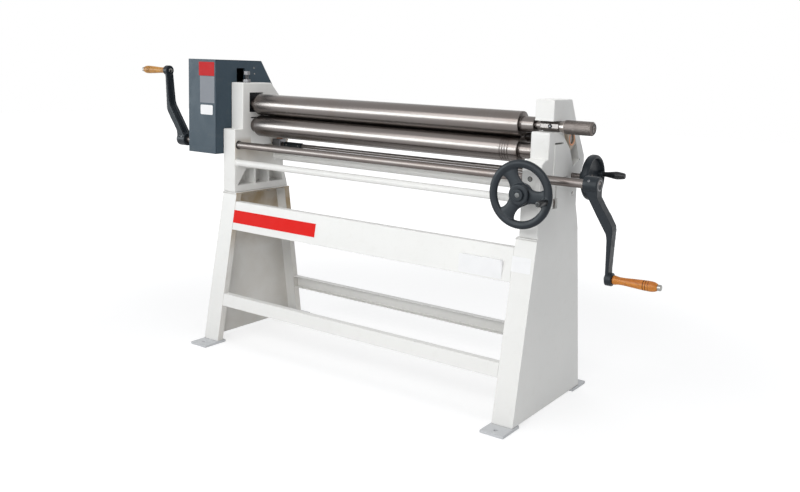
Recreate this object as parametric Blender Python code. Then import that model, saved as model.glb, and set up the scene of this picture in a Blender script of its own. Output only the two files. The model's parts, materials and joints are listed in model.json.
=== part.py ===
"""Hand-cranked slip roll on a folded steel stand.

Metres, +Z up, +X to the operator's right, the operator stands on the -Y side.
Pieces are placed in machine coordinates: X from the middle of the stand, Y from the
pinch rolls' axes, Z from the floor. The machine empty then puts the middle of the
machine's footprint on the world origin.
"""
from math import acos, atan2, cos, hypot, pi, radians, sin, sqrt

import bmesh
import bpy
from mathutils import Matrix, Vector

# Clearances and mesh fineness
gap = 0.0003
running_gap = 0.0003
cut_overrun = 0.003
round_steps = 20
roll_steps = 28
small_steps = 10
weld_distance = 1e-6
edge_angle = radians(35)

# Stand
stand_height = 0.642
leg_stand_out = 0.0006
leg_width = 0.082
leg_lip = 0.030
leg_sheet = 0.004
leg_top_front = 0.121
leg_top_rear = 0.202
leg_floor_front = 0.2306
leg_floor_rear = 0.298
foot_thickness = 0.010
foot_width = 0.090
foot_length = 0.114
foot_front_edge = 0.302
foot_rear_edge = 0.356
foot_bolt_radius = 0.0075
foot_bolt_inset = 0.032
cap_thickness = 0.006
cap_overhang = 0.003

# Stand beams
upper_beam_drop = 0.0363
upper_beam_height = 0.1194
lower_beam_top = 0.214
lower_beam_height = 0.051
rear_beam_top = 0.211
rear_beam_height = 0.055
beam_sheet = 0.003
beam_return = 0.028
strip_length = 0.460
strip_height = 0.053
strip_thickness = 0.0008
strip_drop = 0.036
badge_width = 0.174
badge_height = 0.066
badge_inset = 0.202
badge_drop = 0.047

# Housings
housing_width = 0.070
housing_height = 0.466
housing_depth = 0.326
housing_bolt_radius = 0.006
housing_bolt_front_share = 0.1411
housing_bolt_rear_share = 0.7147
housing_bolt_inset = 0.039
base_flange = 0.030
web_thickness = 0.010
relief_depth = 0.012

# Rolls
roll_radius = 0.045
roll_length = 1.270
roll_gap_left = 0.0322
roll_gap_right = 0.0678
top_roll_rise_share = 0.804077
pinch_gap = 0.0006
rear_roll_y = 0.107
rear_roll_rise_share = 0.702146
shoulder_radius = 0.030
collar_radius = 0.028
collar_length = 0.045
neck_radius = 0.017
neck_stand_out = 0.0025
swing_journal_radius = 0.024
bottom_journal_radius = 0.020
rear_journal_radius = 0.018
gear_seat_radius = 0.018
journal_end_inset = 0.004
journal_end_cone = 0.003

# Swing block and the top window of the left housing
window_front = -0.036
window_rear = 0.046
window_fall = 0.034
window_rise = 0.050
swing_block_half = 0.028
swing_block_inset = 0.004
trunnion_radius = 0.012
trunnion_depth = 0.010
slot_half_height = 0.019
slot_rear = 0.0185

# Swing grip
grip_radius = 0.024
grip_cone = 0.020
grip_stand_out = 0.005
grip_length = 0.121
grip_chamfer = 0.005
grip_bore = 0.0085
grip_bore_depth = 0.070
grip_pin_radius = 0.006
grip_pin_inset = 0.028

# Pinch carriage
block_front = -0.027
block_top_rise = 0.0296
block_base_drop = 0.0864
block_top_rear = 0.040
block_base_rear = 0.098
block_slit = 0.006
block_fall = 0.0024
block_stand_out = 0.002
pinch_travel = 0.002
push_rod_radius = 0.006
push_rod_inset = 0.014
cam_shaft_drop = 0.0475
cam_shaft_radius = 0.009
cam_radius = 0.016
cam_width = 0.012
cam_chamber_half = 0.018
pinch_shaft_inset = 0.036
pinch_shaft_drop = 0.0457
pinch_shaft_radius = 0.009
pinch_worm_radius = 0.012
pinch_worm_half = 0.022
pinch_chamber_half = 0.040
pinch_wheel_width = 0.012
worm_tip_gap = 0.0006

# Rear roll lift: u runs up the incline, v runs square to it, to the rear
lift_lean = radians(28)
lift_travel = 0.050
guide_low = 0.100
rear_block_low = 0.032
rear_block_high = 0.042
rear_block_half = 0.026
lift_screw_radius = 0.008
lift_screw_below = 0.135
lift_shaft_y = 0.1245
lift_shaft_drop = 0.1295
lift_shaft_radius = 0.009
lift_worm_radius = 0.015
lift_worm_length = 0.039
lift_nut_width = 0.018
lift_chamber_half = 0.016
lift_chamber_wall = 0.004
bracket_inset = 0.115
bracket_half = 0.021
sleeve_inset = 0.130
sleeve_length = 0.100
sleeve_radius = 0.0125

# Drive
drive_y = -0.099
drive_drop = 0.1718
drive_radius = 0.015
drive_middle_x = -0.0485
crank_stand_off = 0.1985
crank_hub_length = 0.050
bush_wall = 0.0022
bush_flange = 0.004
bush_flange_width = 0.003
bush_length = 0.030

# Cranks
crank_radius = 0.303
crank_width = 0.042
crank_hub_radius = 0.028
crank_boss_radius = 0.022
crank_boss_length = 0.024
crank_boss_offset = 0.097
crank_tilt_right = radians(3.05)
crank_tilt_left = radians(5.5)
wood_length = 0.148
wood_radius = 0.017
spindle_radius = 0.005
spindle_tip_radius = 0.010
spindle_tip_length = 0.012
spindle_end_share = 0.85

# Gears
roll_gear_radius = 0.0375
roll_gear_teeth = 15
roll_gear_width = 0.016
roll_gear_stand_off = 0.021
backlash = 0.0022
reduction_teeth = 34
pinion_teeth = 12
reduction_width = 0.018
reduction_gap = 0.006
cluster_neck_radius = 0.020
stud_radius = 0.010
stud_head_radius = 0.015
stud_head_height = 0.002
pressure_angle = radians(20)
addendum_share = 0.80
dedendum_share = 1.15
lift_nut_teeth = 18
pinch_wheel_teeth = 22

# Gear case
case_plate_thickness = 0.010
case_reach = 0.167
case_sheet = 0.002
case_front = -0.165
case_rear = 0.210
case_drop = 0.0412
case_crown = 0.0937
notch_half = 0.024
notch_height = 0.060
swing_clearance = 0.009
swing_hole_shift = 0.0045
drive_hole_margin = 0.002

# Tie tubes
tie_radius = 0.014
tie_socket = 0.008
front_tie_y = -0.105
front_tie_rise_share = 0.274034
rear_tie_y = 0.125
rear_tie_drop = 0.057

# Bearing adjuster on the left housing
adjuster_y = -0.020
adjuster_radius = 0.008
adjuster_rise = 0.0487
adjuster_head = 0.016
adjuster_head_radius = 0.0150
lock_nut_height = 0.014
lock_nut_radius = 0.018

# Front handwheel
front_wheel_y = -0.190
front_wheel_radius = 0.115
front_rim_width = 0.026
front_rim_depth = 0.022
front_hub_radius = 0.030
front_hub_length = 0.050
front_spoke_half = 0.019
front_handle_reach = 0.098
front_handle_length = 0.056
front_handle_radius = 0.011
front_handle_turn = radians(-8)
front_spoke_turn = radians(-5)
front_handle_shoulder = 0.011
front_handle_end_share = 0.70
front_handle_base_share = 0.80

# Side handwheel
side_wheel_radius = 0.080
side_hub_stand_off = 0.037
side_hub_radius = 0.020
side_web_stand_off = 0.069
side_web_thickness = 0.008
side_rim_width = 0.016
side_rim_depth = 0.028
side_handle_reach = 0.0585
side_handle_turn = radians(8)
side_handle_stand_off = 0.094
side_handle_length = 0.081
side_handle_base = 0.008
side_handle_widest = 0.014
side_handle_tip = 0.010
side_handle_widest_share = 0.60
handle_pin_radius = 0.004

# Fasteners
bolt_head_height = 0.008
nut_height = 0.010
hex_share = 1.75

# Lengths along X follow from the rolls
housing_inner_x = (roll_gap_left + roll_length + roll_gap_right) / 2
housing_outer_x = housing_inner_x + housing_width
housing_middle_x = housing_outer_x - housing_width / 2
roll_left = -housing_inner_x + roll_gap_left
roll_right = housing_inner_x - roll_gap_right
pocket_end_x = housing_outer_x - web_thickness
stand_half_length = housing_outer_x + leg_stand_out
leg_inner_x = stand_half_length - leg_width
badge_centre_x = housing_outer_x - badge_inset
housing_bolt_x = housing_outer_x - housing_bolt_inset
neck_end_x = housing_outer_x + neck_stand_out
journal_end_x = housing_outer_x - journal_end_inset
grip_start_x = housing_outer_x + grip_stand_out
grip_end_x = grip_start_x + grip_length
grip_pin_x = housing_outer_x - grip_pin_inset
push_rod_x = housing_outer_x - push_rod_inset
pinch_shaft_x = housing_outer_x - pinch_shaft_inset
bracket_x = housing_outer_x - bracket_inset
sleeve_left_x = -housing_outer_x + sleeve_inset
crank_inner_x = housing_outer_x + crank_stand_off
roll_gear_inner_x = housing_outer_x + roll_gear_stand_off
case_outer_x = housing_outer_x + case_reach
side_hub_start_x = housing_outer_x + side_hub_stand_off
side_web_x = housing_outer_x + side_web_stand_off
side_handle_start_x = housing_outer_x + side_handle_stand_off

# Heights follow from the stand
housing_base = stand_height + gap
housing_top = housing_base + housing_height
upper_beam_top = stand_height - upper_beam_drop
top_roll_z = housing_base + top_roll_rise_share * housing_height
rear_roll_z = housing_base + rear_roll_rise_share * housing_height
bottom_roll_z = top_roll_z - 2 * roll_radius - pinch_gap
window_low = top_roll_z - window_fall
window_top = top_roll_z + window_rise
block_top = bottom_roll_z + block_top_rise
block_base = bottom_roll_z - block_base_drop
lift_shaft_z = rear_roll_z - lift_shaft_drop
drive_z = top_roll_z - drive_drop
pinch_shaft_z = drive_z - pinch_shaft_drop
cam_shaft_z = pinch_shaft_z - cam_shaft_drop
case_low = drive_z - case_drop
case_top = housing_top + case_crown
front_tie_z = housing_base + front_tie_rise_share * housing_height
rear_tie_z = lift_shaft_z - rear_tie_drop
adjuster_top = housing_top + adjuster_rise

# Depths, and what the moving pieces share
housing_bolt_front = -leg_top_front + housing_bolt_front_share * housing_depth
housing_bolt_rear = -leg_top_front + housing_bolt_rear_share * housing_depth
grip_reach = (crank_inner_x + crank_boss_offset + crank_boss_length / 2 + gap
              + wood_length + gap + spindle_tip_length)
machine_shift = Vector((-drive_middle_x, (foot_front_edge - foot_rear_edge) / 2, 0))

up_incline = Vector((0, -sin(lift_lean), cos(lift_lean)))
across_incline = Vector((0, cos(lift_lean), sin(lift_lean)))
rear_axis = Vector((0, rear_roll_y, rear_roll_z))
shaft_from_roll = Vector((0, lift_shaft_y, lift_shaft_z)) - rear_axis
nut_u = shaft_from_roll.dot(up_incline)
shaft_v = shaft_from_roll.dot(across_incline)
nut_radius = -shaft_v - lift_worm_radius - worm_tip_gap
pinch_wheel_radius = pinch_shaft_z - cam_shaft_z - pinch_worm_radius - worm_tip_gap

middle_z = (top_roll_z + bottom_roll_z) / 2
idler_rise = roll_gear_radius
idler_y = -sqrt((2 * roll_gear_radius) ** 2 - (top_roll_z - middle_z - idler_rise) ** 2)
upper_idler_z = middle_z + idler_rise
lower_idler_z = middle_z - idler_rise
drive_distance = hypot(drive_y - idler_y, drive_z - lower_idler_z)
drive_module = 2 * drive_distance / (reduction_teeth + pinion_teeth)
reduction_inner_x = roll_gear_inner_x + roll_gear_width + reduction_gap

for old in list(bpy.data.objects):
    bpy.data.objects.remove(old, do_unlink=True)


def make_material(name, colour, roughness, metallic):
    material = bpy.data.materials.new(name)
    material.use_nodes = True
    shader = material.node_tree.nodes["Principled BSDF"]
    shader.inputs["Base Color"].default_value = (*colour, 1)
    shader.inputs["Roughness"].default_value = roughness
    shader.inputs["Metallic"].default_value = metallic
    return material


white = make_material("white_paint", (0.80, 0.80, 0.77), 0.4, 0)
slate = make_material("slate_paint", (0.07, 0.10, 0.12), 0.45, 0)
red = make_material("red_film", (0.70, 0.01, 0.02), 0.35, 0)
badge_white = make_material("badge_white", (0.85, 0.85, 0.85), 0.35, 0)
ground = make_material("ground_steel", (0.52, 0.50, 0.49), 0.28, 1)
shaft_steel = make_material("shaft_steel", (0.45, 0.42, 0.41), 0.3, 1)
gear_steel = make_material("gear_steel", (0.30, 0.30, 0.31), 0.42, 1)
zinc = make_material("zinc_steel", (0.62, 0.61, 0.58), 0.35, 1)
bronze = make_material("bronze", (0.62, 0.33, 0.14), 0.4, 1)
iron = make_material("dark_iron", (0.05, 0.06, 0.075), 0.5, 0)
plastic = make_material("black_plastic", (0.02, 0.02, 0.02), 0.4, 0)
wood = make_material("grip_wood", (0.62, 0.28, 0.07), 0.4, 0)

machine = bpy.data.objects.new("machine", None)
machine.location = machine_shift
bpy.context.collection.objects.link(machine)


def finish(name, mesh_data, material, pivot=(0, 0, 0)):
    """Link one piece, with its origin on the pivot given in machine coordinates."""
    bmesh.ops.remove_doubles(mesh_data, verts=mesh_data.verts, dist=weld_distance)
    bmesh.ops.recalc_face_normals(mesh_data, faces=mesh_data.faces)
    bmesh.ops.translate(mesh_data, verts=mesh_data.verts, vec=-Vector(pivot))
    mesh = bpy.data.meshes.new(name)
    mesh_data.to_mesh(mesh)
    mesh_data.free()
    mesh.materials.append(material)
    mesh.shade_smooth()
    mesh.set_sharp_from_angle(angle=edge_angle)
    piece = bpy.data.objects.new(name, mesh)
    piece.location = pivot
    piece.parent = machine
    bpy.context.collection.objects.link(piece)
    return piece


def modify(piece, operation, tool):
    """Cut or join with a tool object that the build leaves out."""
    tool.hide_render = True
    tool.display_type = "WIRE"
    step = piece.modifiers.new(operation.lower(), "BOOLEAN")
    step.operation = operation
    step.solver = "EXACT"
    step.object = tool


def cut(piece, *tools):
    for tool in tools:
        modify(piece, "DIFFERENCE", tool)


def join(piece, *tools):
    for tool in tools:
        modify(piece, "UNION", tool)


def axis_point(axis, along, first, second):
    """Place a section point: x takes (y, z), y takes (x, z) and z takes (x, y)."""
    if axis == "x":
        return (along, first, second)
    if axis == "y":
        return (first, along, second)
    return (first, second, along)


def circle(first, second, radius, steps=small_steps):
    return [(first + radius * cos(2 * pi * i / steps), second + radius * sin(2 * pi * i / steps))
            for i in range(steps)]


def add_prism(mesh_data, axis, start, end, outline, holes=()):
    """Extrude an outline, with or without holes, between two stations on an axis."""
    edges = []
    corners = []
    for loop in (outline, *holes):
        ring = [mesh_data.verts.new(axis_point(axis, start, *point)) for point in loop]
        corners.append(ring)
        edges += [mesh_data.edges.new((ring[i - 1], ring[i])) for i in range(len(ring))]
    if holes:
        filled = bmesh.ops.triangle_fill(mesh_data, use_beauty=True, edges=edges)
        faces = [item for item in filled["geom"] if isinstance(item, bmesh.types.BMFace)]
    else:
        faces = [mesh_data.faces.new(corners[0])]
    moved = bmesh.ops.extrude_face_region(mesh_data, geom=faces)
    lifted = [item for item in moved["geom"] if isinstance(item, bmesh.types.BMVert)]
    shift = Vector(axis_point(axis, end - start, 0, 0))
    bmesh.ops.translate(mesh_data, verts=lifted, vec=shift)


def prism(name, material, axis, start, end, outline, holes=(), pivot=(0, 0, 0)):
    mesh_data = bmesh.new()
    add_prism(mesh_data, axis, start, end, outline, holes)
    return finish(name, mesh_data, material, pivot)


def box_outline(low_first, high_first, low_second, high_second):
    return [(low_first, low_second), (high_first, low_second),
            (high_first, high_second), (low_first, high_second)]


def along(axis):
    """Rotation that takes local +Z to the axis."""
    return Vector((0, 0, 1)).rotation_difference(Vector(axis)).to_matrix().to_4x4()


def add_turned(mesh_data, profile, centre, axis, steps=round_steps):
    """Spin (radius, station) points about an axis through the centre."""
    fresh = bmesh.new()
    points = [fresh.verts.new((radius, 0, station)) for radius, station in profile]
    edges = [fresh.edges.new((points[i - 1], points[i])) for i in range(1, len(points))]
    if profile[0][0] > 0 and profile[-1][0] > 0:
        edges.append(fresh.edges.new((points[-1], points[0])))
    bmesh.ops.spin(fresh, geom=points + edges, cent=(0, 0, 0), axis=(0, 0, 1),
                   angle=2 * pi, steps=steps, use_merge=True)
    bmesh.ops.remove_doubles(fresh, verts=fresh.verts, dist=weld_distance)
    bmesh.ops.transform(fresh, verts=fresh.verts,
                        matrix=Matrix.Translation(Vector(centre)) @ along(axis))
    spare = bpy.data.meshes.new("turned")
    fresh.to_mesh(spare)
    fresh.free()
    mesh_data.from_mesh(spare)
    bpy.data.meshes.remove(spare)


def turned(name, material, profile, centre, axis, pivot=None, steps=round_steps):
    mesh_data = bmesh.new()
    add_turned(mesh_data, profile, centre, axis, steps)
    return finish(name, mesh_data, material, centre if pivot is None else pivot)


def rod(start, end, radius):
    """Profile of a plain round bar."""
    return [(0, end), (radius, end), (radius, start), (0, start)]


def ring(start, end, outer, inner):
    """Profile of a plain round tube."""
    return [(outer, end), (outer, start), (inner, start), (inner, end)]


def cylinder_tool(centre, axis, start, end, radius, steps=round_steps):
    return turned("tool", gear_steel, rod(start, end, radius), centre, axis, steps=steps)


def prism_tool(axis, start, end, outline):
    return prism("tool", gear_steel, axis, start, end, outline)


def transform_piece(mesh_data, matrix):
    bmesh.ops.transform(mesh_data, verts=mesh_data.verts, matrix=matrix)


def gear_outline(pitch_radius, teeth, start_angle):
    """Involute spur gear outline, thinned by the backlash, first tooth at start_angle."""
    module = 2 * pitch_radius / teeth
    outer = pitch_radius + addendum_share * module
    root = pitch_radius - dedendum_share * module
    base = pitch_radius * cos(pressure_angle)
    foot = max(base, root)

    def involute(radius):
        return sqrt((radius / base) ** 2 - 1) - acos(base / radius)

    half_at_pitch = (pi * module / 4 - backlash / 2) / pitch_radius + involute(pitch_radius)
    flank = [foot, outer] if teeth > roll_gear_teeth else [foot, (foot + outer) / 2, outer]
    outline = []
    for tooth in range(teeth):
        middle = start_angle + 2 * pi * tooth / teeth
        half_foot = half_at_pitch - involute(foot)
        rising = [(root, -half_foot)]
        rising += [(radius, involute(radius) - half_at_pitch) for radius in flank]
        whole = rising + [(radius, -angle) for radius, angle in reversed(rising)]
        outline += [(radius * cos(middle + angle), radius * sin(middle + angle))
                    for radius, angle in whole]
    return outline


def shifted(outline, first, second):
    return [(first + a, second + b) for a, b in outline]


def leg_front(height):
    drop = (stand_height - height) / (stand_height - foot_thickness)
    return -leg_top_front - (leg_floor_front - leg_top_front) * drop


def leg_rear(height):
    drop = (stand_height - height) / (stand_height - foot_thickness)
    return leg_top_rear + (leg_floor_rear - leg_top_rear) * drop


def incline_point(u, v):
    """(y, z) of a point given up and across the rear roll's guide."""
    place = rear_axis + up_incline * u + across_incline * v
    return (place.y, place.z)


def incline_box(low_u, high_u, low_v, high_v):
    return [incline_point(u, v) for u, v in box_outline(low_u, high_u, low_v, high_v)]


# Stand
def make_leg(side, name):
    low = foot_thickness + gap
    high = stand_height - cap_thickness / 2
    outer = stand_half_length
    inner = leg_inner_x

    def section(height):
        front = leg_front(height)
        rear = leg_rear(height)
        return [(inner, front), (outer, front), (outer, rear), (inner, rear),
                (inner, rear - leg_lip), (inner + leg_sheet, rear - leg_lip),
                (inner + leg_sheet, rear - leg_sheet), (outer - leg_sheet, rear - leg_sheet),
                (outer - leg_sheet, front + leg_sheet), (inner + leg_sheet, front + leg_sheet),
                (inner + leg_sheet, front + leg_lip), (inner, front + leg_lip)]

    mesh_data = bmesh.new()
    rings = [[mesh_data.verts.new((side * x, y, height)) for x, y in section(height)]
             for height in (low, high)]
    count = len(rings[0])
    for i in range(count):
        mesh_data.faces.new((rings[0][i - 1], rings[0][i], rings[1][i], rings[1][i - 1]))
    mesh_data.faces.new(rings[0])
    mesh_data.faces.new(rings[1])
    join(finish(name, mesh_data, white), make_cap(side))


def make_foot(side, edge, name):
    middle_x = side * (stand_half_length - leg_width / 2)
    inward = -1 if edge > 0 else 1
    ends = sorted((edge, edge + inward * foot_length))
    hole = circle(middle_x, edge + inward * foot_bolt_inset, foot_bolt_radius)
    prism(name, white, "z", 0, foot_thickness,
          box_outline(middle_x - foot_width / 2, middle_x + foot_width / 2, *ends), [hole])


def bolt_places(side):
    return [(side * housing_bolt_x, housing_bolt_front), (side * housing_bolt_x, housing_bolt_rear)]


def make_cap(side):
    """Plate welded over the top of a leg, as a tool that the leg is joined with."""
    holes = [circle(x, y, housing_bolt_radius + running_gap) for x, y in bolt_places(side)]
    ends = sorted((side * leg_inner_x, side * stand_half_length))
    outline = box_outline(*ends, -leg_top_front - cap_overhang, leg_top_rear + cap_overhang)
    return prism("tool", white, "z", stand_height - cap_thickness, stand_height, outline, holes)


def make_beam(name, top, height, face, facing):
    """Folded channel between the legs; facing is 1 for returns that run to the rear."""
    low = top - height
    reach = facing * beam_return
    skin = facing * beam_sheet
    under = top - beam_sheet
    over = low + beam_sheet
    section = [(face(top), top), (face(top) + reach, top), (face(top) + reach, under),
               (face(under) + skin, under), (face(over) + skin, over),
               (face(low) + reach, over), (face(low) + reach, low), (face(low), low)]
    prism(name, white, "x", -leg_inner_x + gap, leg_inner_x - gap, section)


def make_plate_on_beam(name, material, low_x, high_x, top, height):
    """Thin plate on the sloping front of the upper beam."""
    low = top - height
    near = [(leg_front(top) - gap, top), (leg_front(low) - gap, low)]
    far = [(y - strip_thickness, z) for y, z in reversed(near)]
    prism(name, material, "x", low_x, high_x, near + far)


make_leg(-1, "leg_left")
make_leg(1, "leg_right")
make_foot(-1, -foot_front_edge, "foot_front_left")
make_foot(1, -foot_front_edge, "foot_front_right")
make_foot(-1, foot_rear_edge, "foot_rear_left")
make_foot(1, foot_rear_edge, "foot_rear_right")
make_beam("upper_front_beam", upper_beam_top, upper_beam_height, leg_front, 1)
make_beam("lower_front_beam", lower_beam_top, lower_beam_height, leg_front, 1)
make_beam("lower_rear_beam", rear_beam_top, rear_beam_height, leg_rear, -1)
make_plate_on_beam("name_strip", red, -leg_inner_x + gap, -leg_inner_x + gap + strip_length,
                   upper_beam_top - strip_drop, strip_height)
make_plate_on_beam("badge_plate", badge_white, badge_centre_x - badge_width / 2,
                   badge_centre_x + badge_width / 2, upper_beam_top - badge_drop, badge_height)

# Housings: shares of the housing's depth and height, from its front foot
left_front_shares = [(0, 0), (0, 0.579), (0.141, 0.579), (0.141, 1), (0.663, 1), (0.812, 0.892)]
right_front_shares = [(0, 0), (0, 0.500), (0.028, 0.545), (0.090, 0.567), (0.156, 0.571),
                      (0.156, 0.751), (0.227, 0.863), (0.227, 1), (0.656, 1), (0.794, 0.833)]
rear_shares = [(1.049, 0.569), (1.061, 0.517), (0.905, 0.318), (0.911, 0.189), (0.975, 0.067),
               (1, 0)]
relief_shares = [(0.374, 0.754), (0.460, 0.735), (0.543, 0.700), (0.620, 0.656), (0.679, 0.617),
                 (0.700, 0.650), (0.590, 0.754)]
front_pocket_shares = [(0.049, 0), (0.209, 0.215), (0.347, 0.208), (0.356, 0)]
middle_pocket_shares = [(0.380, 0), (0.380, 0.200), (0.600, 0.200), (0.610, 0)]
rear_pocket_shares = [(0.635, 0), (0.630, 0.200), (0.850, 0.200), (0.900, 0)]


def housing_points(shares):
    return [(-leg_top_front + depth * housing_depth, housing_base + rise * housing_height)
            for depth, rise in shares]


def pocket_points(shares):
    """Like the housing's points, but nothing lower than the base flange's top."""
    return [(y, max(z, stand_height + base_flange)) for y, z in housing_points(shares)]


def through(side):
    ends = (side * (housing_inner_x - cut_overrun), side * (housing_outer_x + cut_overrun))
    return min(ends), max(ends)


def pocket(side, deep):
    ends = (side * (housing_inner_x - cut_overrun), side * deep)
    return min(ends), max(ends)


def block_outline(margin, fall=0, slit=0):
    """The block, or its window with a margin, room to fall and a slit above."""
    lean = (block_top_rear - block_base_rear) / (block_top - block_base)
    low = block_base - fall
    high = block_top + slit
    side_margin = margin - fall * lean
    return [(block_front - margin, low), (block_base_rear + side_margin - fall * lean, low),
            (block_top_rear + side_margin + slit * lean, high), (block_front - margin, high)]


def make_housing(side, name, front_shares):
    low, high = sorted((side * housing_inner_x, side * housing_outer_x))
    piece = prism(name, white, "x", low, high, housing_points(front_shares + rear_shares))
    cut(piece, prism_tool("x", *through(side), block_outline(gap, block_fall, block_slit)))
    cut(piece, prism_tool("x", *through(side),
                          incline_box(-guide_low, rear_block_high + running_gap,
                                      -rear_block_half - running_gap,
                                      rear_block_half + running_gap)))
    chamber = incline_box(nut_u - lift_chamber_half, nut_u + lift_chamber_half,
                          shaft_v - lift_worm_radius - lift_chamber_wall,
                          nut_radius + lift_chamber_wall)
    chamber_end = housing_middle_x + nut_radius + worm_tip_gap
    cut(piece, prism_tool("x", *pocket(side, chamber_end), chamber))
    screw_axis = Vector((side * housing_middle_x, rear_roll_y, rear_roll_z))
    screw_end = -lift_screw_below - lift_travel - cut_overrun
    cut(piece, cylinder_tool(screw_axis, up_incline, screw_end, -rear_block_low,
                             lift_screw_radius + running_gap))
    shaft_centre = (0, lift_shaft_y, lift_shaft_z)
    if side > 0:
        cut(piece, cylinder_tool(shaft_centre, (1, 0, 0), housing_middle_x,
                                 housing_outer_x + cut_overrun, lift_shaft_radius + running_gap))
    for shares in (front_pocket_shares, middle_pocket_shares, rear_pocket_shares):
        cut(piece, prism_tool("x", *pocket(side, pocket_end_x), pocket_points(shares)))
    drive_centre = (0, drive_y, drive_z)
    cut(piece, cylinder_tool(drive_centre, (1, 0, 0), *through(side),
                             drive_radius + bush_wall + 2 * gap))
    for y, z in ((front_tie_y, front_tie_z), (rear_tie_y, rear_tie_z)):
        cut(piece, cylinder_tool((0, y, z), (1, 0, 0), *pocket(side, housing_inner_x + tie_socket),
                                 tie_radius + gap))
    cam_centre = (0, 0, cam_shaft_z)
    cut(piece, cylinder_tool(cam_centre, (1, 0, 0), *pocket(side, push_rod_x + cam_width),
                             cam_shaft_radius + running_gap))
    groove_start = side * (push_rod_x - cam_width / 2 - worm_tip_gap)
    groove = sorted((groove_start, side * (housing_outer_x + cut_overrun)))
    cut(piece, prism_tool("x", *groove, box_outline(-cam_chamber_half, cam_chamber_half,
                                                    cam_shaft_z - cam_chamber_half,
                                                    cam_shaft_z + cam_chamber_half)))
    slot = push_rod_radius + 2 * running_gap
    cut(piece, prism_tool("x", *groove, box_outline(-slot, slot, cam_shaft_z, block_base)))
    for x, y in bolt_places(side):
        cut(piece, cylinder_tool((x, y, 0), (0, 0, 1), stand_height - cut_overrun,
                                 stand_height + base_flange + cut_overrun,
                                 housing_bolt_radius + running_gap, small_steps))
    return piece


housing_left = make_housing(-1, "housing_left", left_front_shares)
cut(housing_left, prism_tool("x", *through(-1), box_outline(window_front, window_rear,
                                                            window_low, window_top)))
cut(housing_left, cylinder_tool((-housing_middle_x, 0, 0), (0, 0, 1), window_low - trunnion_depth,
                                window_top + trunnion_depth, trunnion_radius + running_gap))
cut(housing_left, cylinder_tool((-housing_middle_x, adjuster_y, 0), (0, 0, 1),
                                window_top - cut_overrun, housing_top + cut_overrun,
                                adjuster_radius + running_gap))

housing_right = make_housing(1, "housing_right", right_front_shares)
cut(housing_right, prism_tool("x", *through(1), box_outline(-leg_top_front, slot_rear,
                                                            top_roll_z - slot_half_height,
                                                            top_roll_z + slot_half_height)))
cut(housing_right, prism_tool("x", housing_outer_x - relief_depth, housing_outer_x + cut_overrun,
                              housing_points(relief_shares)))
cut(housing_right, prism_tool("x", *pocket(1, pinch_shaft_x + pinch_worm_radius + worm_tip_gap),
                              box_outline(-pinch_chamber_half, pinch_chamber_half,
                                          cam_shaft_z - pinch_chamber_half,
                                          pinch_shaft_z + pinch_worm_radius + lift_chamber_wall)))
cut(housing_right, cylinder_tool((pinch_shaft_x, 0, pinch_shaft_z), (0, 1, 0),
                                 -leg_top_front - cut_overrun, 0, pinch_shaft_radius + running_gap))


def make_bolts():
    """Bolts through the housing foot and the stand cap, each with its nut."""
    head_z = stand_height + base_flange + gap
    nut_z = stand_height - cap_thickness - gap
    head = housing_bolt_radius * hex_share
    profile = [(0, head_z + bolt_head_height), (head, head_z + bolt_head_height), (head, head_z),
               (housing_bolt_radius, head_z), (housing_bolt_radius, nut_z),
               (head, nut_z), (head, nut_z - nut_height), (0, nut_z - nut_height)]
    for side, hand in ((-1, "left"), (1, "right")):
        for (x, y), end in zip(bolt_places(side), ("front", "rear")):
            turned(f"housing_bolt_{end}_{hand}", zinc, profile, (x, y, 0), (0, 0, 1),
                   steps=small_steps)


make_bolts()

# Tie tubes
tie_end = housing_inner_x + tie_socket - gap
for tie_name, tie_y, tie_z in (("front_tie_tube", front_tie_y, front_tie_z),
                               ("rear_tie_tube", rear_tie_y, rear_tie_z)):
    turned(tie_name, white, rod(-tie_end, tie_end, tie_radius), (0, tie_y, tie_z), (1, 0, 0))

# Top roll, swing block and swing grip
gear_outer_x = roll_gear_inner_x + roll_gear_width
swing_pivot = (-housing_middle_x, 0, top_roll_z)
stub_end = grip_start_x + grip_bore_depth - gap
stub_radius = grip_bore - running_gap
top_profile = [(0, stub_end), (stub_radius, stub_end), (stub_radius, neck_end_x), (neck_radius, neck_end_x),
               (neck_radius, roll_right + collar_length), (collar_radius, roll_right + collar_length),
               (collar_radius, roll_right), (roll_radius, roll_right), (roll_radius, roll_left),
               (shoulder_radius, roll_left), (shoulder_radius, -housing_inner_x + gap),
               (swing_journal_radius, -housing_inner_x + gap),
               (swing_journal_radius, -roll_gear_inner_x + gap),
               (gear_seat_radius, -roll_gear_inner_x + gap), (gear_seat_radius, -gear_outer_x - gap),
               (0, -gear_outer_x - gap)]
top_roll = turned("top_roll", ground, top_profile, (0, 0, top_roll_z), (1, 0, 0), swing_pivot,
                  roll_steps)
cut(top_roll, cylinder_tool((grip_pin_x, 0, top_roll_z), (0, 1, 0), -roll_radius, roll_radius,
                            grip_pin_radius + gap, small_steps))
turned("grip_pin", zinc, rod(-neck_radius - gap, neck_radius + gap, grip_pin_radius),
       (grip_pin_x, 0, top_roll_z), (0, 1, 0), swing_pivot, small_steps)

grip_profile = [(0, grip_end_x), (grip_radius - grip_chamfer, grip_end_x),
                (grip_radius, grip_end_x - grip_chamfer), (grip_radius, grip_start_x + grip_cone),
                (neck_radius, grip_start_x), (grip_bore, grip_start_x),
                (grip_bore, grip_start_x + grip_bore_depth), (0, grip_start_x + grip_bore_depth)]
turned("swing_grip", gear_steel, grip_profile, (0, 0, top_roll_z), (1, 0, 0), swing_pivot)

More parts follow.
